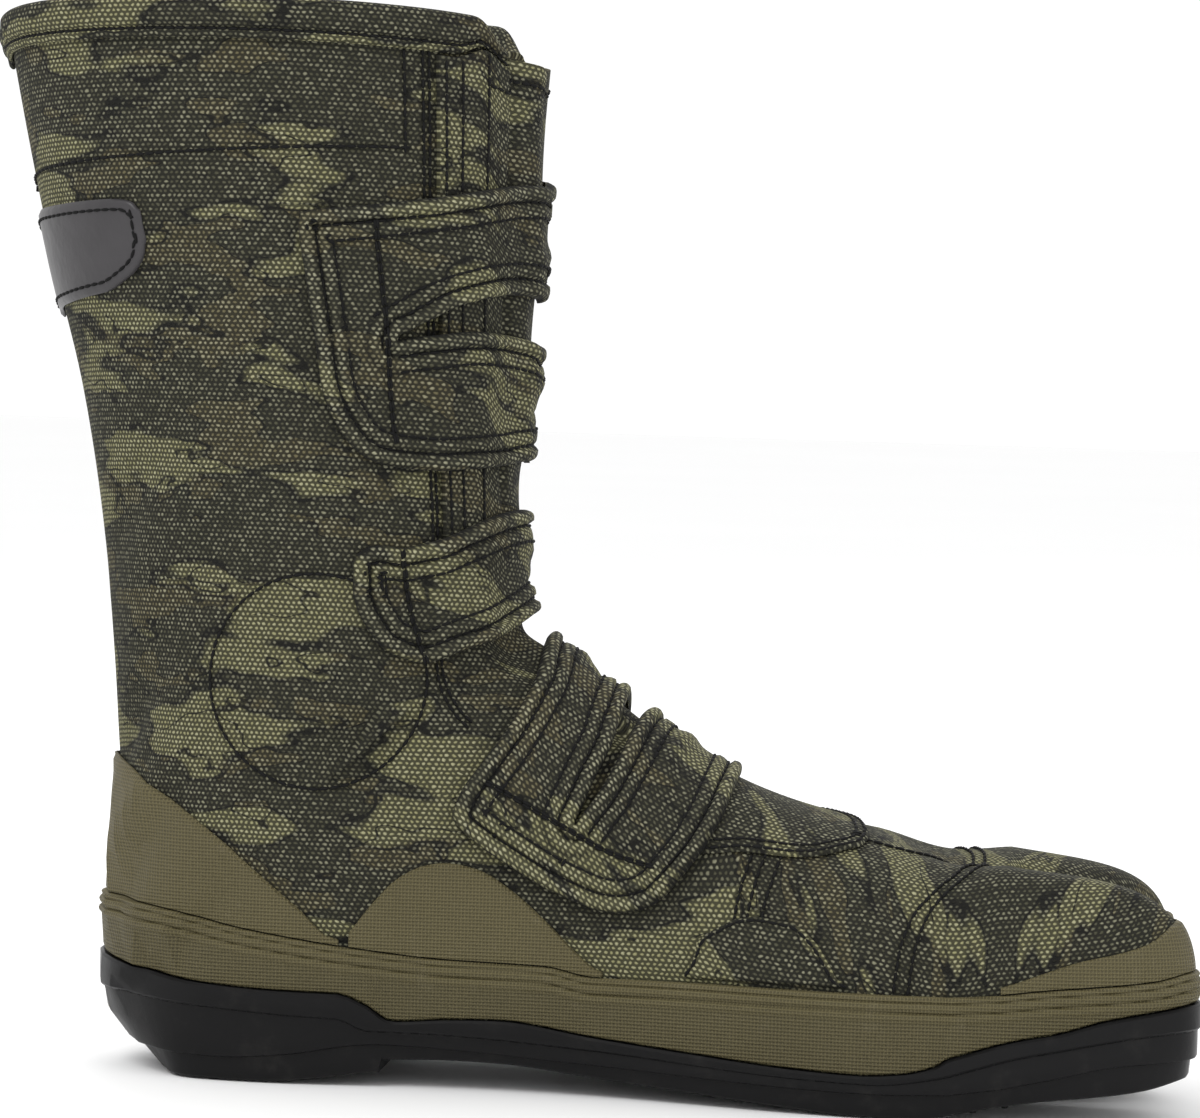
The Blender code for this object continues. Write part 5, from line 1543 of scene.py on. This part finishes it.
olive = Finish("olive rubber", .58, Specular_IOR_Level=.25)
HATCH = .0018              # pitch of the cross-hatch
hatch_along, hatch_up, _ = olive.axes(olive.uv("weave"))
hatch = olive.times(olive.wave(olive.plus(hatch_along, hatch_up), HATCH),
                    olive.wave(olive.minus(hatch_along, hatch_up), HATCH))
cloud = olive.noise(olive.object(), 26.0, 4.0, .6)
scuff = olive.ramp(olive.noise(olive.object(), 160.0, 4.0, .65), .58, .72)
olive_color = olive.mix(cloud, (.100, .085, .039), (.142, .122, .060))
olive_color = olive.mix(olive.times(scuff, .25), olive_color, (.18, .157, .095))
# painted shade: the cross-hatch's low lines darkened halfway to near black
olive_color = olive.mix(olive.times(olive.ramp(hatch, .2, -.7), .50), olive_color,
                        (.018, .015, .008))
olive_normal = olive.bump(hatch, .00030, 1.0)
olive_normal = olive.bump(olive.noise(olive.object(), 900.0, 3.0), .00012, .6, olive_normal)
olive.paint(olive_color, olive_normal, olive.math("MULTIPLY_ADD", cloud, .18, .50))


def fine_band(name, keys, rings_at, lifts, finish, node, closed=False):
    """A rubber sheet through rings at given heights, each standing out by its own lift."""
    rings = [surface_ring(height) for height in rings_at]
    outer, inner, uvs = [], [], []
    run, before = 0.0, None
    for key in keys:
        k = PLACE[key]
        foot = rings[0][k]
        run += (foot - before).length if before is not None else 0.0
        before = foot
        for ring, lift in zip(rings, lifts):
            inner.append(ring[k] + NORMALS[k] * GAP)
            outer.append(ring[k] + NORMALS[k] * rubber_lift(key, lift))
            uvs.append((run, ring[k].z))
    high = len(rings)
    faces = []
    count = len(keys)
    for j in range(count if closed else count - 1):
        for i in range(high - 1):
            a, b = j * high + i, (j + 1) % count * high + i
            faces.append((a, b, b + 1, a + 1))
    piece = solid(name, outer, inner, faces, [finish], {"weave": uvs}, smooth_angle=60)
    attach(piece, "root")
    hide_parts(node)
    return piece


# the foxing's ribs: depth below its top edge and lift over its wall, in mm
RIBS = ((6.4, 0.0), (5.9, .55), (5.2, .80), (4.5, .55), (4.0, -.10), (3.4, .55), (2.7, .80),
        (2.0, .45), (1.5, -.10), (1.0, .35), (.5, .20), (.15, -.5), (0, -1.1))
BAND_RINGS = [raised(cup_top), raised(cup_top, .0009)]
BAND_LIFTS = [FOXING_WALL - .0006, FOXING_WALL]
for depth, lift in RIBS:
    BAND_RINGS.append(raised(foxing_top, -depth * .001))
    BAND_LIFTS.append(FOXING_WALL + lift * .001)
fine_band("foxing_band", LOOP, BAND_RINGS, BAND_LIFTS, olive.material, "foxing", closed=True)


def guard(name, node, keys, top, rows_at):
    """A guard from the foxing to its own top edge, thinned there."""
    rings_at = [raised(foxing_top)]
    lifts = [GUARD_WALL]
    for i in range(1, rows_at + 1):
        t = i / rows_at
        rings_at.append(lambda x, t=t: foxing_top(x) + GAP
                        + max(top(x) - foxing_top(x) - GAP, .0004) * (1 - (1 - t) ** 1.4))
        lifts.append(GUARD_WALL * (1 - .12 * t) if t < .93 else .0005)
    fine_band(name, keys, rings_at, lifts, olive.material, node)


guard("heel_counter", "heel_guard", [key for key in LOOP if key[0] == "back"
      or (key[0] == "side" and SIDE_STATIONS[key[2]] < .2355)],
      lambda x: HEEL_GUARD_HEIGHT * curve(HEEL_GUARD_TOP, share_of(x)), 16)
guard("arch_panel", "arch_guard", [key for key in LOOP if key[:2] == ("side", -1)
      and .2380 < SIDE_STATIONS[key[2]] < .480],
      lambda x: ARCH_GUARD_HEIGHT * curve(ARCH_GUARD_TOP, share_of(x)), 12)
for side, name, node in ((-1, "big_toe_cap", "toe_guard_big"),
                         (1, "small_toe_cap", "toe_guard_small")):
    stretch = LOBES[-1][0] / LOBES[side][0]
    keys = [key for key in LOOP if key[1] == side and (
        key[0] in ("outer", "tip") or (key[0] == "side" and SIDE_STATIONS[key[2]] > .789)
        or (key[0] == "inner" and LOBE_STATIONS[key[2]] > .55))]
    lower = 1 - LOBE_GUARD_DROP * (side > 0)
    guard(name, node, keys, lambda x, lower=lower, stretch=stretch: max(
        TOE_GUARD_HEIGHT * lower * curve(TOE_GUARD_TOP, share_of(x) * stretch),
        foxing_top(x) + 3 * GAP), 10)


# Sole and insole
# Black moulded rubber: a cup rim round the foot, a stepped and undercut heel, a waisted arch
# and a forefoot cup with small pointed studs under the toes; a woven sock lies inside.
SOLE_STEP = ((0.0, .24), (.058, .232), (.130, .216), (.184, .257), (.259, .373),
             (.275, .38), (.45, .30), (.72, .215), (.784, .23), (.866, .377),
             (.936, .517), (1.0, .55))                               # CUP_HEIGHT
HEEL_BOTTOM = ((0.0, 0.0), (.16, 0.0), (.221, .051), (.2727, .12))   # CUP_HEIGHT
FORE_BOTTOM = ((.2755, .233), (.332, .245), (.381, .236), (.473, .157), (.566, .089),
               (.654, .027), (.705, 0.0), (.764, 0.0), (.785, .04), (.821, .116),
               (.874, .192), (.920, .236), (.956, .284), (1.0, .37))  # CUP_HEIGHT
SOLE_LEDGE = ((0.0, .71), (.11, .66), (.20, .61), (.235, .60), (.262, .50), (.29, .50),
              (.47, .42), (.65, .315), (.72, .30), (.77, .36), (.85, .58), (1.0, .80))
BOTTOM_INSET = 0.0030      # edge of the tread inside the rim
STEP_INSET = 0.0026        # just under the step
PANEL_INSET = 0.0010       # side panel between the step and the ledge
LEDGE_INSET = 0.0002
HEEL_UNDERCUT = 0.0190     # heel back drawn in at the ground
UNDERCUT_HEIGHT = 0.0180
EDGE_STEP = 0.0005         # height over which a step turns out


def sole_bottom(x):
    table = HEEL_BOTTOM if share_of(x) < BREAST else FORE_BOTTOM
    return CUP_HEIGHT * curve(table, share_of(x))


def step_line(x):
    return CUP_HEIGHT * curve(SOLE_STEP, share_of(x))


def ledge_line(x):
    return CUP_HEIGHT * curve(SOLE_LEDGE, share_of(x))


def sole_ring(height, inset):
    """A ring on the outsole's outer side at height(x), drawn in by inset."""
    ring = surface_ring(height)
    for k, key in enumerate(LOOP):
        backward = max(-NORMALS[k].x, 0) if FEATHER[k].x < 0 else 0
        height_left = max(1 - ring[k].z / UNDERCUT_HEIGHT, 0)
        drawn = inset * (1 - .8 * slit_share(key))
        drawn += HEEL_UNDERCUT * height_left ** 2 * backward ** 2
        ring[k] += NORMALS[k] * (rubber_lift(key, RIM_WALL) - drawn)
    return ring


def cup_ring(height):
    """A ring on the inside of the outsole's rim."""
    return [p + NORMALS[k] * CUP_GAP for k, p in enumerate(surface_ring(height))]


def outsole_rings():
    """The sole's rings from the tread up its side, over the rim and down inside."""
    outside = (
        (sole_bottom, BOTTOM_INSET + .0009), (raised(sole_bottom, .0003), BOTTOM_INSET + .0003),
        (raised(sole_bottom, .0009), BOTTOM_INSET), (raised(step_line, -EDGE_STEP), STEP_INSET),
        (raised(step_line, -.0001), PANEL_INSET + .0002), (raised(step_line, .0003), PANEL_INSET),
        (between(step_line, ledge_line, .5), PANEL_INSET),
        (raised(ledge_line, -EDGE_STEP), PANEL_INSET),
        (raised(ledge_line, -.0001), LEDGE_INSET + .0002), (raised(ledge_line, .0004), 0.0),
        (between(ledge_line, cup_top, .5), 0.0), (raised(cup_top, -.0006), 0.0),
        (cup_top, .0007))
    inside = (cup_top, between(footbed, cup_top, .35), between(footbed, cup_top, .12), footbed)
    return [sole_ring(*ring) for ring in outside] + [cup_ring(line) for line in inside]


def caps(bm, ring, upward):
    """Close a loop of stations with a ladder from side to side."""
    def v(kind, side, k):
        return ring[PLACE[(kind, side, k)]]

    last_side = len(SIDE_STATIONS) - 1
    last_lobe = len(LOBE_STATIONS) - 1
    polygons = [(v("side", -1, last_side), v("back", 0, 0), v("side", 1, last_side))]
    for k in range(last_side):
        polygons.append((v("side", -1, k), v("side", -1, k + 1), v("side", 1, k + 1),
                         v("side", 1, k)))
    root = v("root", 0, 0)
    polygons.append((v("outer", -1, 0), v("side", -1, 0), v("side", 1, 0), v("outer", 1, 0),
                     root))
    for side in (-1, 1):
        inner = [root] + [v("inner", side, k) for k in range(1, last_lobe + 1)]
        for k in range(last_lobe):
            quad = (v("outer", side, k + 1), v("outer", side, k), inner[k], inner[k + 1])
            polygons.append(quad if side < 0 else quad[::-1])
        tip = (v("tip", side, 0), v("outer", side, last_lobe), inner[last_lobe])
        polygons.append(tip if side < 0 else tip[::-1])
    for polygon in polygons:
        bm.faces.new(polygon if upward else polygon[::-1])


STUD_ROWS = (.806, .834, .866, .898, .930)   # x shares
STUD_LINES = (-.40, -.30, -.18, .03, .15, .27, .38)   # shares of BALL_WIDTH
STUD_HEIGHT = 0.0013
STUD_WIDTH = 0.0032
STUD_SINK = 0.0012
STUD_TAPER = .45
STUD_MARGIN = 0.0065
STUD_SIDES = 8


def fine_outsole():
    rings = outsole_rings()
    bm = bmesh.new()
    loops = [[bm.verts.new(p) for p in ring] for ring in rings]
    size = len(loops[0])
    for one, two in zip(loops, loops[1:]):
        for k in range(size):
            m = (k + 1) % size
            bm.faces.new((one[k], one[m], two[m], two[k]))
    caps(bm, loops[0], False)
    caps(bm, loops[-1], True)
    bmesh.ops.recalc_face_normals(bm, faces=bm.faces)
    if bm.calc_volume(signed=True) < 0:
        bmesh.ops.reverse_faces(bm, faces=bm.faces)
    outline = [(p.x, p.y) for p in sole_ring(sole_bottom, BOTTOM_INSET + STUD_MARGIN)]
    for share in STUD_ROWS:
        for line in STUD_LINES:
            x, y = at_length(share), line * BALL_WIDTH
            crossings = sum((y0 > y) != (y1 > y) and x < x0 + (y - y0) * (x1 - x0) / (y1 - y0)
                            for (x0, y0), (x1, y1) in zip(outline, outline[1:] + outline[:1]))
            if crossings % 2 == 0:
                continue
            ends = []
            for half, height in ((.5, STUD_SINK), (.42, .0002), (.5 * STUD_TAPER, -STUD_HEIGHT)):
                z = sole_bottom(x) + height
                ends.append([bm.verts.new((x + math.cos(a) * half * STUD_WIDTH,
                                           y + math.sin(a) * half * STUD_WIDTH, z))
                             for a in np.linspace(0, 2 * math.pi, STUD_SIDES + 1)[:-1]])
            bm.faces.new(ends[0])
            bm.faces.new(ends[-1][::-1])
            for one, two in zip(ends, ends[1:]):
                for k in range(STUD_SIDES):
                    m = (k + 1) % STUD_SIDES
                    bm.faces.new((one[m], one[k], two[k], two[m]))
    mesh = bpy.data.meshes.new("rubber_sole")
    bm.to_mesh(mesh)
    bm.free()
    piece = add_object("rubber_sole", mesh)
    mesh.materials.append(black.material)
    mesh.shade_smooth()
    mesh.set_sharp_from_angle(angle=math.radians(38))
    return piece


TREAD_RIBS = (.0042, .0084)    # pitch of the tread's ribs along and across the sole
black = Finish("black rubber", .40, Specular_IOR_Level=.14)
grain = black.noise(black.object(), 420.0, 4.0, .6)
wear = black.noise(black.object(), 24.0, 5.0, .65)
dust = black.ramp(black.noise(black.object(), 90.0, 5.0, .7), .52, .75)
black_color = black.mix(wear, (.0030, .0030, .0032), (.0075, .0073, .0076))
black_color = black.mix(black.times(dust, .18), black_color, (.045, .042, .038))
blocks = black.times(*(black.wave(axis, pitch)
                       for axis, pitch in zip(black.axes(black.object()), TREAD_RIBS)))
upward = black.axes(black.node("NewGeometry").outputs["True Normal"])[2]
under = black.ramp(black.times(upward, -1.0), .75, .95)
black_normal = black.bump(black.times(black.ramp(blocks, -.15, .25), under), .0011, .9)
black_normal = black.bump(grain, .00010, .8, black_normal)
black.paint(black_color, black_normal, black.math("MULTIPLY_ADD", wear, .25, .28))

sole = fine_outsole()
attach(sole, "root")
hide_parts("outsole")

sock = Finish("sock lining", .95)
SOCK_THREADS = (.0016, .0012)  # pitch of its weave
weft = sock.times(*(sock.wave(axis, pitch)
                    for axis, pitch in zip(sock.axes(sock.object()), SOCK_THREADS)))
sock.paint(sock.mix(sock.ramp(weft, -.6, .8), (.030, .030, .026), (.085, .083, .070)),
           sock.bump(weft, .0003, .7))
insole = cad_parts["insole"]
insole.data.materials.clear()
insole.data.materials.append(sock.material)


# Floor
# A plain pale sweep under the shoe.
floor_mesh = bpy.data.meshes.new("floor")
bm = bmesh.new()
bmesh.ops.create_grid(bm, x_segments=2, y_segments=2, size=6.0)
bm.to_mesh(floor_mesh)
bm.free()
floor = add_object("floor", floor_mesh)
floor.location.z = -.0004
pale = Finish("pale floor", .8)
pale.paint(pale.mix(pale.noise(pale.object(), 3.0), (.92, .92, .92), (.94, .94, .94)))
floor_mesh.materials.append(pale.material)
